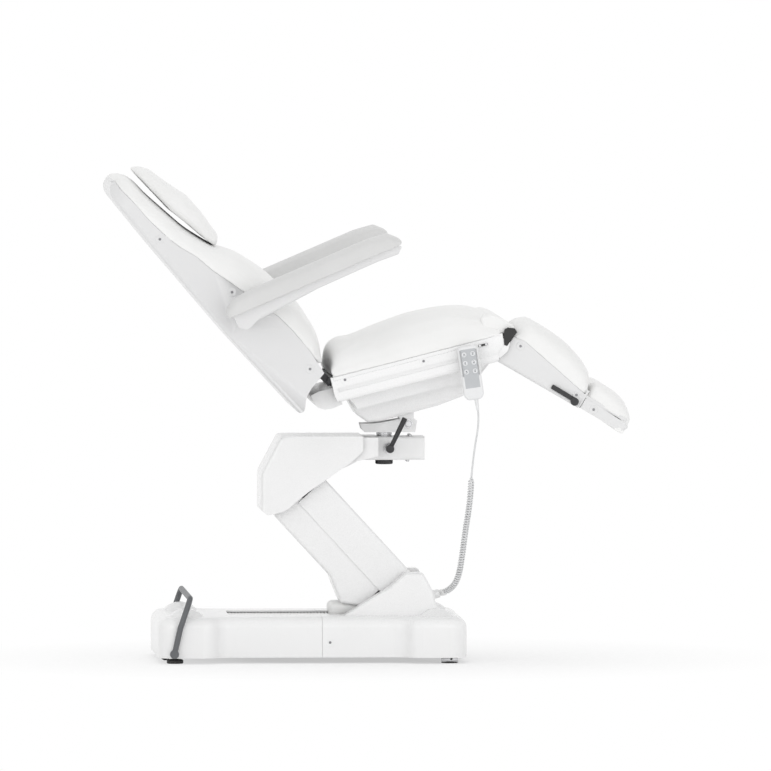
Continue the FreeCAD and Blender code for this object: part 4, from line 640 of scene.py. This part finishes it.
def makePad(name, s):
    place = s["place"]
    bm = bmesh.new()
    bm.from_mesh(nodes[s["node"]].data)
    bmesh.ops.remove_doubles(bm, verts=bm.verts, dist=merge["packed"])
    if "nose" in s:
        addNose(bm, place, s["nose"], s["noseInset"])
    bmesh.ops.recalc_face_normals(bm, faces=bm.faces)
    piece = newPiece(name, bm, s.get("finish", vinyl))
    finishMesh(piece, ("REMESH", {"mode": "VOXEL", "voxel_size": s["voxel"]}))
    bm = bmesh.new()
    bm.from_mesh(piece.data)
    bm.normal_update()
    up = place.to_3x3() @ Vector((0, 0, 1))
    under = [v for v in bm.verts if v.normal.dot(up) < padStart["floorSlope"]]
    if "drawnIn" in s:
        drawIn(bm.verts, place, *s["drawnIn"])
    if s.get("roundTop"):
        # near its top the pad is as wide as the shell, so that no part of that stands open
        widenPast(bm.verts, place, s["voxel"], -topRound["widenShare"] * topRound["length"],
                  topRound["widen"], s["rimSides"][1] + topRound["overShell"])
    if "rear" in s:
        raiseRear(bm.verts, place, s["rear"]["start"], s["rear"]["raise"])
        widenPast(bm.verts, place, s["voxel"], s["rear"]["start"], s["rear"]["widen"])
    if s.get("squareEdge"):
        under = list(set(under) | set(squareEdge(bm, place, s["voxel"])))
    if "rim" in s:
        seatOnRim([v for v in under if v.normal.dot(up) < padStart["floorSlope"]], place, s)
    if s.get("roundTop"):
        roundTop(bm.verts, place)
    fixed = set(under)
    free = [v for v in bm.verts if v not in fixed]
    for _ in range(s["rounds"]):
        bmesh.ops.smooth_vert(bm, verts=free, factor=padStart["smoothShare"], use_axis_x=True,
                              use_axis_y=True, use_axis_z=True)
    bm.verts.index_update()
    held = [v.index for v in under]
    bm.to_mesh(piece.data)
    bm.free()
    if s["swell"]:
        swellPad(piece, held, s)
    if "rearEnd" in s:
        holdRear(piece, place, s["rearEnd"])
    finishMesh(piece, ("SUBSURF", {"levels": 1, "render_levels": 1}))
    for face in piece.data.polygons:
        face.use_smooth = True
    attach(piece, s["body"])
    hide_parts(s["node"])
    print("pad", name, len(piece.data.polygons))


for padName, padSizes in upholstery.items():
    makePad(padName, padSizes)


def makeBackShell():
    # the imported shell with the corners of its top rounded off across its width
    bm = bmesh.new()
    bm.from_mesh(nodes["back_shell"].data)
    bmesh.ops.remove_doubles(bm, verts=bm.verts, dist=merge["packed"])
    ahead = backPlace.to_3x3() @ Vector((1, 0, 0))
    end = topRound["length"] * topRound["overrunShare"]
    for cut in range(topRound["cuts"] + 1):
        u = end - topRound["reach"] * cut / topRound["cuts"]
        bmesh.ops.bisect_plane(bm, geom=bm.verts[:] + bm.edges[:] + bm.faces[:],
                               dist=merge["spun"], plane_co=backPlace @ Vector((-u, 0, 0)),
                               plane_no=ahead)
    roundTop(bm.verts, backPlace)
    bmesh.ops.recalc_face_normals(bm, faces=bm.faces)
    shell = newPiece("backShellRound", bm, shadedBackCover, "back", crease=topRound["crease"])
    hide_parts("back_shell")


makeBackShell()

kneeFlap = {
    # across the seat's frame: out of the pad's crown, over the gap before the legs and back
    "top": [(0.25, 0.24), (0.268, 0.2445), (0.283, 0.241), (0.298, 0.2325), (0.312, 0.2195),
            (0.3235, 0.206), (0.332, 0.1965)],
    "under": [(0.3315, 0.1915), (0.3275, 0.189), (0.3, 0.1855), (0.262, 0.1875), (0.248, 0.205)],
    "half": 0.287, "round": 0.006, "fineness": 4, "rimAngle": 1.2, "crease": 50,
}


def makeKneeFlap(s):
    line = splineLine([Vector((x, 0, z)) for x, z in s["top"]], s["fineness"])
    line += [Vector((x, 0, z)) for x, z in s["under"]]
    bm = bmesh.new()
    plateOf(bm, [(p.x, -s["half"], p.z) for p in line], 2 * s["half"], seatPlace)
    bmesh.ops.recalc_face_normals(bm, faces=bm.faces)
    rims = [e for e in bm.edges if e.calc_face_angle(0) > s["rimAngle"]]
    bmesh.ops.bevel(bm, geom=rims, offset=s["round"], affect="EDGES", segments=4, profile=0.5,
                    material=-1, clamp_overlap=True)
    flap = newPiece("kneeFlap", bm, vinyl, "seat", crease=s["crease"])
    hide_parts("knee_flap")


makeKneeFlap(kneeFlap)
print("upholstery made")


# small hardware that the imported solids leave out

turning = {"crease": 38, "rimShare": 0.85}


def turnedPiece(name, profile, places, axis, finish, body, segments=28, notch=0.0):
    # a closed profile of (radius, height) spun about an axis, once at each place
    bm = bmesh.new()
    row = [bm.verts.new((radius, 0, height)) for radius, height in profile]
    edges = [bm.edges.new(pair) for pair in zip(row, row[1:])]
    bmesh.ops.spin(bm, geom=row + edges, cent=(0, 0, 0), axis=(0, 0, 1), dvec=(0, 0, 0),
                   angle=2 * math.pi, steps=segments, use_merge=True)
    bmesh.ops.remove_doubles(bm, verts=bm.verts, dist=merge["spun"])
    if notch:
        widest = max(radius for radius, height in profile)
        for vert in bm.verts:
            spoke = math.atan2(vert.co.y, vert.co.x) / (2 * math.pi) * segments
            if round(spoke) % 2 and vert.co.xy.length > turning["rimShare"] * widest:
                vert.co.xy *= 1 - notch
    turn = Vector((0, 0, 1)).rotation_difference(Vector(axis)).to_matrix().to_4x4()
    pattern = bpy.data.meshes.new(name + "Pattern")
    bm.to_mesh(pattern)
    bm.free()
    bm = bmesh.new()
    for place in places:
        started = len(bm.verts)
        bm.from_mesh(pattern)
        bm.verts.ensure_lookup_table()
        bmesh.ops.transform(bm, matrix=Matrix.Translation(place) @ turn, verts=bm.verts[started:])
    bpy.data.meshes.remove(pattern)
    bmesh.ops.recalc_face_normals(bm, faces=bm.faces)
    return newPiece(name, bm, finish, body, crease=turning["crease"])


screwSets = {
    # how far out the body's side lies, and the places (x, z) of the screws on it
    "seat": {"body": "seat", "finish": cover, "side": 0.298,
             "places": [(-0.0745, 0.7684), (0.1377, 0.8183)]},
    "back": {"body": "back", "finish": shadedBackCover, "side": 0.285,
             "places": [(-0.5733, 1.148), (-0.3789, 1.0049), (-0.1683, 0.797)]},
    "leg": {"body": "leg_", "finish": shadedLegCover, "side": 0.284,
            "places": [(0.4004, 0.8576), (0.5518, 0.7256)]},
    "foot": {"body": "foot_", "finish": shadedLegCover, "side": 0.284, "places": [(0.598, 0.686)]},
    "base": {"body": "base", "finish": cover, "side": 0.245, "places": [(-0.1122, 0.0565)]},
}
dishProfile = [(0, 0.00005), (0.0118, 0.00005), (0.0112, 0.0009), (0.0098, 0.0011),
               (0.0066, 0.0004), (0.0048, 0.0003), (0, 0.0003)]
screwProfile = [(0, 0.00035), (0.0036, 0.00035), (0.0036, 0.001), (0.0029, 0.0014),
                (0.0019, 0.0013), (0.0017, 0.0007), (0, 0.0007)]


def makeScrews(name, s):
    for side, mark in bothSides:
        places = [(x, side * s["side"], z) for x, z in s["places"]]
        # a leg's screws ride the leg of their own side, and carry it in their names
        body = s["body"] + mark.lower() if s["body"].endswith("_") else s["body"]
        first = name + mark if s["body"].endswith("_") else name
        turnedPiece(first + "Dish" + mark, dishProfile, places, (0, side, 0), s["finish"], body)
        turnedPiece(first + "Screw" + mark, screwProfile, places, (0, side, 0), screwGrey, body,
                    segments=12)


for setName, setSizes in screwSets.items():
    makeScrews(setName, setSizes)


def barPiece(name, size, place, finish, body, tilt=0.0, bevel=0.001, segments=3):
    # a bar with softened edges, its length along X before it is tilted about Y
    bm = bmesh.new()
    bmesh.ops.create_cube(bm, size=1)
    bmesh.ops.scale(bm, vec=size, verts=bm.verts)
    bmesh.ops.bevel(bm, geom=bm.edges[:], offset=bevel, affect="EDGES", segments=segments,
                    profile=0.5, material=-1)
    turn = Matrix.Rotation(math.radians(tilt), 4, "Y")
    bmesh.ops.transform(bm, matrix=Matrix.Translation(place) @ turn, verts=bm.verts)
    return newPiece(name, bm, finish, body)


post = {
    "x": 0.04636, "postRadius": 0.0213, "postLow": 0.5415, "postHigh": 0.6158, "chamfer": 0.001,
    # how deep the groove lies at each height
    "groove": [(0, 0.6035), (0, 0.6055), (0.0014, 0.606), (0.0014, 0.6075), (0, 0.608)],
    "nutRadius": 0.0238, "nutLow": 0.528, "nutHigh": 0.5408, "nutDrop": 0.002,
    "nutChamfer": 0.0025, "notch": 0.035,
}


def makePost(s):
    low, high, radius, edge = s["postLow"], s["postHigh"], s["postRadius"], s["chamfer"]
    profile = [(0, low), (radius - edge, low), (radius, low + edge)]
    profile += [(radius - deep, height) for deep, height in s["groove"]]
    profile += [(radius, high - edge), (radius - edge, high), (0, high)]
    shaft = turnedPiece("swivelShaft", profile, [(s["x"], 0, 0)], (0, 0, 1), plated, "turntable",
                        segments=48)
    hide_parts("swivel_post")
    low, high, radius, drop = s["nutLow"], s["nutHigh"], s["nutRadius"], s["nutDrop"]
    inner = radius - s["nutChamfer"]
    turnedPiece("swivelNut", [(0, low), (inner, low), (radius, low + drop), (radius, high - drop),
                (inner, high), (0, high)], [(s["x"], 0, 0)], (0, 0, 1), blackPlastic,
                "turntable", segments=72, notch=s["notch"])


makePost(post)

lever = {
    "hub": (0.0564, -0.1275, 0.574), "angle": 26, "length": 0.09, "wide": 0.0072,
    "narrow": 0.0058, "flat": 0.005, "endRound": 0.0025, "fromHub": 0.003,
    "cap": [(0, 0.0001), (0.0112, 0.0001), (0.0112, 0.0015), (0.0098, 0.003), (0.004, 0.0034),
            (0, 0.0034)],
}


def makeLever(s):
    bm = bmesh.new()
    bmesh.ops.create_cone(bm, cap_ends=True, segments=24, radius1=s["narrow"], radius2=s["wide"],
                          depth=s["length"])
    level = [e for e in bm.edges if abs(e.verts[0].co.z - e.verts[1].co.z) < merge["spun"]]
    bmesh.ops.bevel(bm, geom=level, offset=s["endRound"], affect="EDGES", segments=4,
                    profile=0.5, material=-1)
    bmesh.ops.translate(bm, vec=(0, 0, s["length"] / 2 + s["fromHub"]), verts=bm.verts)
    for vert in bm.verts:
        vert.co.y *= s["flat"] / s["wide"]
    x, y, z = s["hub"]
    turn = Matrix.Rotation(math.radians(s["angle"]), 4, "Y")
    bmesh.ops.transform(bm, matrix=Matrix.Translation((x, y + s["flat"], z)) @ turn, verts=bm.verts)
    newPiece("leverGrip", bm, blackPlastic, "clamp_lever")
    turnedPiece("leverCap", s["cap"], [s["hub"]], (0, -1, 0), blackPlastic, "clamp_lever")


makeLever(lever)

bolt = {
    "place": (0.1098, 0.061, 0.63955),
    "profile": [(0, 0.0001), (0.0115, 0.0001), (0.0115, 0.0012), (0.0086, 0.0013),
                (0.0086, 0.0055), (0.0072, 0.0066), (0, 0.0066)],
}
for boltSide, boltMark in bothSides:
    boltX, boltY, boltZ = bolt["place"]
    turnedPiece("tiltBolt" + boltMark, bolt["profile"], [(boltX, boltSide * boltY, boltZ)],
                (0, boltSide, 0), plated, "turntable", segments=24)
stud = {
    # the places (x, z) of the two pairs on the beam's top and underside
    "side": 0.03, "top": (0.1155, 0.604), "low": (0.1088, 0.541),
    "profile": [(0, 0.0001), (0.0046, 0.0001), (0.0046, 0.0042), (0.0036, 0.0052), (0, 0.0052)],
}
for studName, studWay in (("top", 1), ("low", -1)):
    studX, studZ = stud[studName]
    turnedPiece("beamStud" + studName.title(), stud["profile"],
                [(studX, side * stud["side"], studZ) for side, mark in bothSides],
                (0, 0, studWay), plated, "head", segments=12)

feet = {
    "leftX": -0.5307, "rightX": 0.2113, "side": 0.235,
    "pad": [(0, 0.0002), (0.02, 0.0002), (0.0224, 0.002), (0.0224, 0.009), (0.0196, 0.0118),
            (0.008, 0.0132), (0.006, 0.0138), (0.006, 0.0158), (0, 0.0158)],
    "flatPad": [(0, 0.0002), (0.0215, 0.0002), (0.0224, 0.0012), (0.0218, 0.0034), (0, 0.0034)],
    "bracket": (0.044, 0.036, 0.0118), "bracketHeight": 0.0096, "bracketRound": 0.0015,
    "hole": [(0, 0.0001), (0.0032, 0.0001), (0.0032, 0.0006), (0, 0.0006)],
    "holeFrom": (0.004, 0.018, 0.0115),
}


def makeFeet(s):
    lefts = [(s["leftX"], side * s["side"], 0) for side, mark in bothSides]
    left = turnedPiece("rubberFeet", s["pad"], lefts, (0, 0, 1), blackRubber, "base", segments=40)
    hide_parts("levelling_feet")
    rights = [(s["rightX"], side * s["side"], 0) for side, mark in bothSides]
    turnedPiece("bracketPads", s["flatPad"], rights, (0, 0, 1), blackRubber, "base", segments=40)
    holeX, holeY, holeZ = s["holeFrom"]
    for side, mark in bothSides:
        barPiece("footBracket" + mark, s["bracket"], (s["rightX"], side * s["side"],
                 s["bracketHeight"]), plated, "base", bevel=s["bracketRound"])
        turnedPiece("footHole" + mark, s["hole"], [(s["rightX"] + holeX, side * (s["side"] + holeY),
                    holeZ)], (0, side, 0), blackPlastic, "base", segments=16)


makeFeet(feet)

clip = {"size": (0.026, 0.004, 0.0058), "middle": (0.2981, -0.3003, 0.8615),
        "screws": [(0.2895, -0.3023, 0.8593), (0.3067, -0.3023, 0.8637)]}
barPiece("trayClip", clip["size"], clip["middle"], blackPlastic, "seat",
         tilt=-chairPlaces["tilt"])
turnedPiece("trayClipScrews", screwProfile, clip["screws"], (0, -1, 0), plated, "seat",
            segments=12)

trim = {"start": -0.1775, "end": 0.2705, "side": 0.2985, "low": 0.1736, "high": 0.1832,
        "thick": 0.0009, "round": 0.0003}
for trimSide, trimMark in bothSides:
    trimMiddle = seatPlace @ Vector(((trim["start"] + trim["end"]) / 2, trimSide * trim["side"],
                                     (trim["low"] + trim["high"]) / 2))
    barPiece("trayTrim" + trimMark, (trim["end"] - trim["start"], trim["thick"],
             trim["high"] - trim["low"]), trimMiddle, cover, "seat",
             tilt=-chairPlaces["tilt"], bevel=trim["round"], segments=2)

cheeks = {
    # plates on the seat's sides: outlines (x, z) in the seat's frame and how far out they lie
    "rear": {"outline": [(-0.1772, 0.1835), (-0.184, 0.1835), (-0.184, 0.13), (-0.1812, 0.1195),
                         (-0.1772, 0.1162)], "from": 0.2575, "to": 0.2982, "finish": cover},
    "front": {"outline": [(0.2155, 0.1835), (0.2955, 0.1835), (0.291, 0.157), (0.2695, 0.1345),
                          (0.2155, 0.1345)], "from": 0.2937, "to": 0.2992, "finish": cover},
    "knee": {"outline": [(0.262, 0.132), (0.2738, 0.1231), (0.2988, 0.1364), (0.3102, 0.1572),
                         (0.2938, 0.1737), (0.276, 0.1731)], "from": 0.2925, "to": 0.2952,
             "finish": cover},
    # the black plates in the knee gap stand for the dark hinge behind it and for the shade in the
    # gap: partly painted shade
    "gap": {"outline": [(0.3032, 0.1955), (0.3136, 0.1977), (0.3311, 0.1913), (0.3351, 0.1797),
                        (0.3169, 0.165), (0.2995, 0.1499), (0.2929, 0.1547), (0.2967, 0.1777)],
            "from": 0.2945, "to": 0.297, "finish": blackRubber},
}
cheekRound = 0.0009


def makeCheek(name, side, mark, s):
    bm = bmesh.new()
    plateOf(bm, [(x, side * s["from"], z) for x, z in s["outline"]], side * (s["to"] - s["from"]))
    bmesh.ops.recalc_face_normals(bm, faces=bm.faces)
    bmesh.ops.bevel(bm, geom=bm.edges[:], offset=cheekRound, affect="EDGES", segments=3,
                    profile=0.5, material=-1)
    bmesh.ops.transform(bm, matrix=seatPlace, verts=bm.verts)
    newPiece(name + "Cheek" + mark, bm, s["finish"], "seat")


for cheekName, cheekSizes in cheeks.items():
    for cheekSide, cheekMark in bothSides:
        makeCheek(cheekName, cheekSide, cheekMark, cheekSizes)

lip = {
    # strips over the seam between pad and tray, and over the slits at each foot rest
    "tray": {"middle": (0.0592, 0.2922, 0.1846), "size": (0.4728, 0.009, 0.005), "round": 0.0012},
    "foot": {"middle": (0.2575, 0.2837, -0.0112), "size": (0.0062, 0.0018, 0.0505),
             "round": 0.0007},
    "edge": {"middle": (0.324, 0.2837, -0.0035), "size": (0.127, 0.0016, 0.0088),
             "round": 0.0007},
}
legTilt = chairPlaces["legAngle"] - chairPlaces["tilt"]
for lipSide, lipMark in bothSides:
    for lipName, lipSizes in lip.items():
        onTray = lipName == "tray"
        lipX, lipY, lipZ = lipSizes["middle"]
        lipPlace = (seatPlace if onTray else legPlace) @ Vector((lipX, lipSide * lipY, lipZ))
        barPiece(lipName + "Lip" + lipMark, lipSizes["size"], lipPlace,
                 cover if onTray else shadedLegCover, "seat" if onTray else "foot_" + lipMark.lower(),
                 tilt=-chairPlaces["tilt"] if onTray else legTilt, bevel=lipSizes["round"],
                 segments=3 if onTray else 2)

socket = {
    "place": (0.167, -0.1043, 0.1763), "axis": (0.972, 0, 0.236),
    "profile": [(0, 0), (0.015, 0), (0.0145, 0.005), (0.0118, 0.012), (0.0114, 0.0245),
                (0, 0.0245)],
}
turnedPiece("glandSocket", socket["profile"], [socket["place"]], socket["axis"], cover, "base")

boot = {"middle": (-0.062, 0, 0.1375), "size": (0.088, 0.172, 0.037), "round": 0.015}
bootPiece = barPiece("armBoot", boot["size"], boot["middle"], vinylWelt, "base",
                     bevel=boot["round"], segments=6)
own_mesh(bootPiece)

slotLiner = {"start": -0.3785, "end": -0.07, "half": 0.1068, "height": 0.1202, "rib": 0.0012,
             "pitch": 0.009, "perFold": 4, "across": 6, "wall": 0.0012}


def makeSlotLiner(s):
    # a pale concertina under the slot, fixed to the base
    folds = round((s["end"] - s["start"]) / s["pitch"])
    bm = bmesh.new()
    bmesh.ops.create_grid(bm, x_segments=folds * s["perFold"], y_segments=s["across"], size=0.5)
    bmesh.ops.scale(bm, vec=(s["end"] - s["start"], 2 * s["half"], 1), verts=bm.verts)
    for vert in bm.verts:
        along = vert.co.x / s["pitch"]
        vert.co.z = s["rib"] * math.cos(2 * math.pi * along)
    bmesh.ops.translate(bm, vec=((s["start"] + s["end"]) / 2, 0, s["height"]), verts=bm.verts)
    liner = newPiece("slotLiner", bm, vinylWelt)
    finishMesh(liner, ("SOLIDIFY", {"thickness": s["wall"], "offset": -1.0}))
    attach(liner, "base")
    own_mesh(liner)


makeSlotLiner(slotLiner)

keys = {
    # the slant of the bar beside each arrow, and whether the arrow points up
    "button_up": (0, True), "button_down": (0, False), "button_back_up": (48, True),
    "button_back_down": (48, False), "button_tilt_up": (-18, True),
    "button_tilt_down": (-18, False),
}
glyph = {"tilt": 8.3, "out": 0.0001, "arrowFoot": 0.0026, "arrowFace": 0.0025, "thick": 0.0004,
         "arrowUp": 0.0012, "bar": (0.0062, 0.0004, 0.0009), "barDown": 0.0026}


def makeGlyph(node, slant, pointsUp, s):
    low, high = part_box(node)
    middle = (Vector(low) + Vector(high)) / 2
    middle.y = low[1] - s["out"]
    bm = bmesh.new()
    made = bmesh.ops.create_cone(bm, cap_ends=True, segments=3, radius1=s["arrowFoot"],
                                 radius2=s["arrowFace"], depth=s["thick"])["verts"]
    flip = 1 if pointsUp else -1
    bmesh.ops.transform(bm, matrix=Matrix.Translation((0, 0, flip * s["arrowUp"]))
                        @ Matrix.Rotation(math.radians(90 if pointsUp else -90), 4, "Y")
                        @ Matrix.Rotation(math.radians(90), 4, "X"), verts=made)
    bar = bmesh.ops.create_cube(bm, size=1)["verts"]
    bmesh.ops.scale(bm, vec=s["bar"], verts=bar)
    bmesh.ops.transform(bm, matrix=Matrix.Translation((0, 0, -flip * s["barDown"]))
                        @ Matrix.Rotation(math.radians(slant), 4, "Y"), verts=bar)
    bmesh.ops.transform(bm, matrix=Matrix.Translation(middle)
                        @ Matrix.Rotation(math.radians(-s["tilt"]), 4, "Y"), verts=bm.verts)
    bmesh.ops.recalc_face_normals(bm, faces=bm.faces)
    newPiece("glyph" + node.title().replace("_", ""), bm, glyphGrey, node, smooth=False)


for keyNode, (keySlant, keyUp) in keys.items():
    makeGlyph(keyNode, keySlant, keyUp, glyph)
print("hardware made")


# floor, sky and lamps

def seenDirectly(tree):
    # 1 where the camera, a mirror or a glass looks, 0 where only light falls
    rays = tree.nodes.new("ShaderNodeLightPath")
    seen = [Wire(tree, rays.outputs[k]) for k in ("Is Camera Ray", "Is Glossy Ray",
                                                  "Is Transmission Ray")]
    return (seen[0] + seen[1] + seen[2]).held()


def makeStudio(s):
    bm = bmesh.new()
    bmesh.ops.create_circle(bm, cap_ends=True, segments=96, radius=s["floorRadius"])
    floor = newPiece("floor", bm, bpy.data.materials.new("floorPaper"), smooth=False)
    paper = floor.data.materials[0]
    paper.use_nodes = True
    tree = paper.node_tree
    shader = tree.nodes["Principled BSDF"]
    shader.inputs["Base Color"].default_value = (*s["floorColour"], 1)
    shader.inputs["Roughness"].default_value = s["floorRough"]
    start = Wire(tree)
    place = start.node("TexCoord", out=3)
    away = start.node("VectorMath", {"operation": "LENGTH"}, {0: place}, out=1)
    # far from the chair the paper is white to the eye, near it the chair's shadow shows
    fade = ((away - s["shadowStart"]) / s["shadowFade"]).held()
    whiter = (fade * (1 - s["shadowShare"]) + s["shadowShare"]) * seenDirectly(tree)
    glow = start.node("Emission", {}, {"Color": (1, 1, 1, 1), "Strength": 1.0})
    mixed = start.node("MixShader", {}, {0: whiter})
    mixer = mixed.socket.node
    tree.links.new(shader.outputs[0], mixer.inputs[1])
    tree.links.new(glow.socket, mixer.inputs[2])
    tree.links.new(mixer.outputs[0], tree.nodes["Material Output"].inputs["Surface"])

    world = bpy.data.worlds.new("sky")
    scene.world = world
    world.use_nodes = True
    tree = world.node_tree
    back = tree.nodes["Background"]
    strength = seenDirectly(tree) * (1 - s["skyStrength"]) + s["skyStrength"]
    back.inputs["Color"].default_value = (1, 1, 1, 1)
    tree.links.new(strength.socket, back.inputs["Strength"])

    for name in ("keyLamp", "fillLamp", "topLamp"):
        place, power, size = s[name]
        data = bpy.data.lights.new(name, "AREA")
        data.energy, data.size = power, size
        lamp = bpy.data.objects.new(name, data)
        lamp.location = place
        way = Vector(s["lampAim"]) - Vector(place)
        lamp.rotation_euler = way.to_track_quat("-Z", "Y").to_euler()
        scene.collection.objects.link(lamp)


makeStudio(studio)
print("studio set")

paint("base_cover_long base_cover_tower head_cover arm_upper_cover arm_lower_cover seat_pan "
      "cord_gland", cover)
paint("armrest_base_near armrest_base_far leg_shell_near leg_shell_far foot_shell_near "
      "foot_shell_far", shadedLegCover)
paint("base_plate pivot_cheeks lower_link upper_link", greyPaint)
paint("seat_board back_frame", blackPaint)
paint("head_casting turntable_bracket", casting)
paint("transport_bar", barPaint)
paint("clamp_lever leg_handle_near leg_handle_far control_box lift_motor castor_near "
      "castor_far", blackPlastic)
paint("lift_rod clamp_collar", plated)
paint("handset_case handset_holder cord_relief", handsetShell)
paint("handset_panel", keypadGrey)
paint("button_up button_down button_back_up button_back_down button_tilt_up button_tilt_down",
      keyWhite)
print("packed nodes painted")
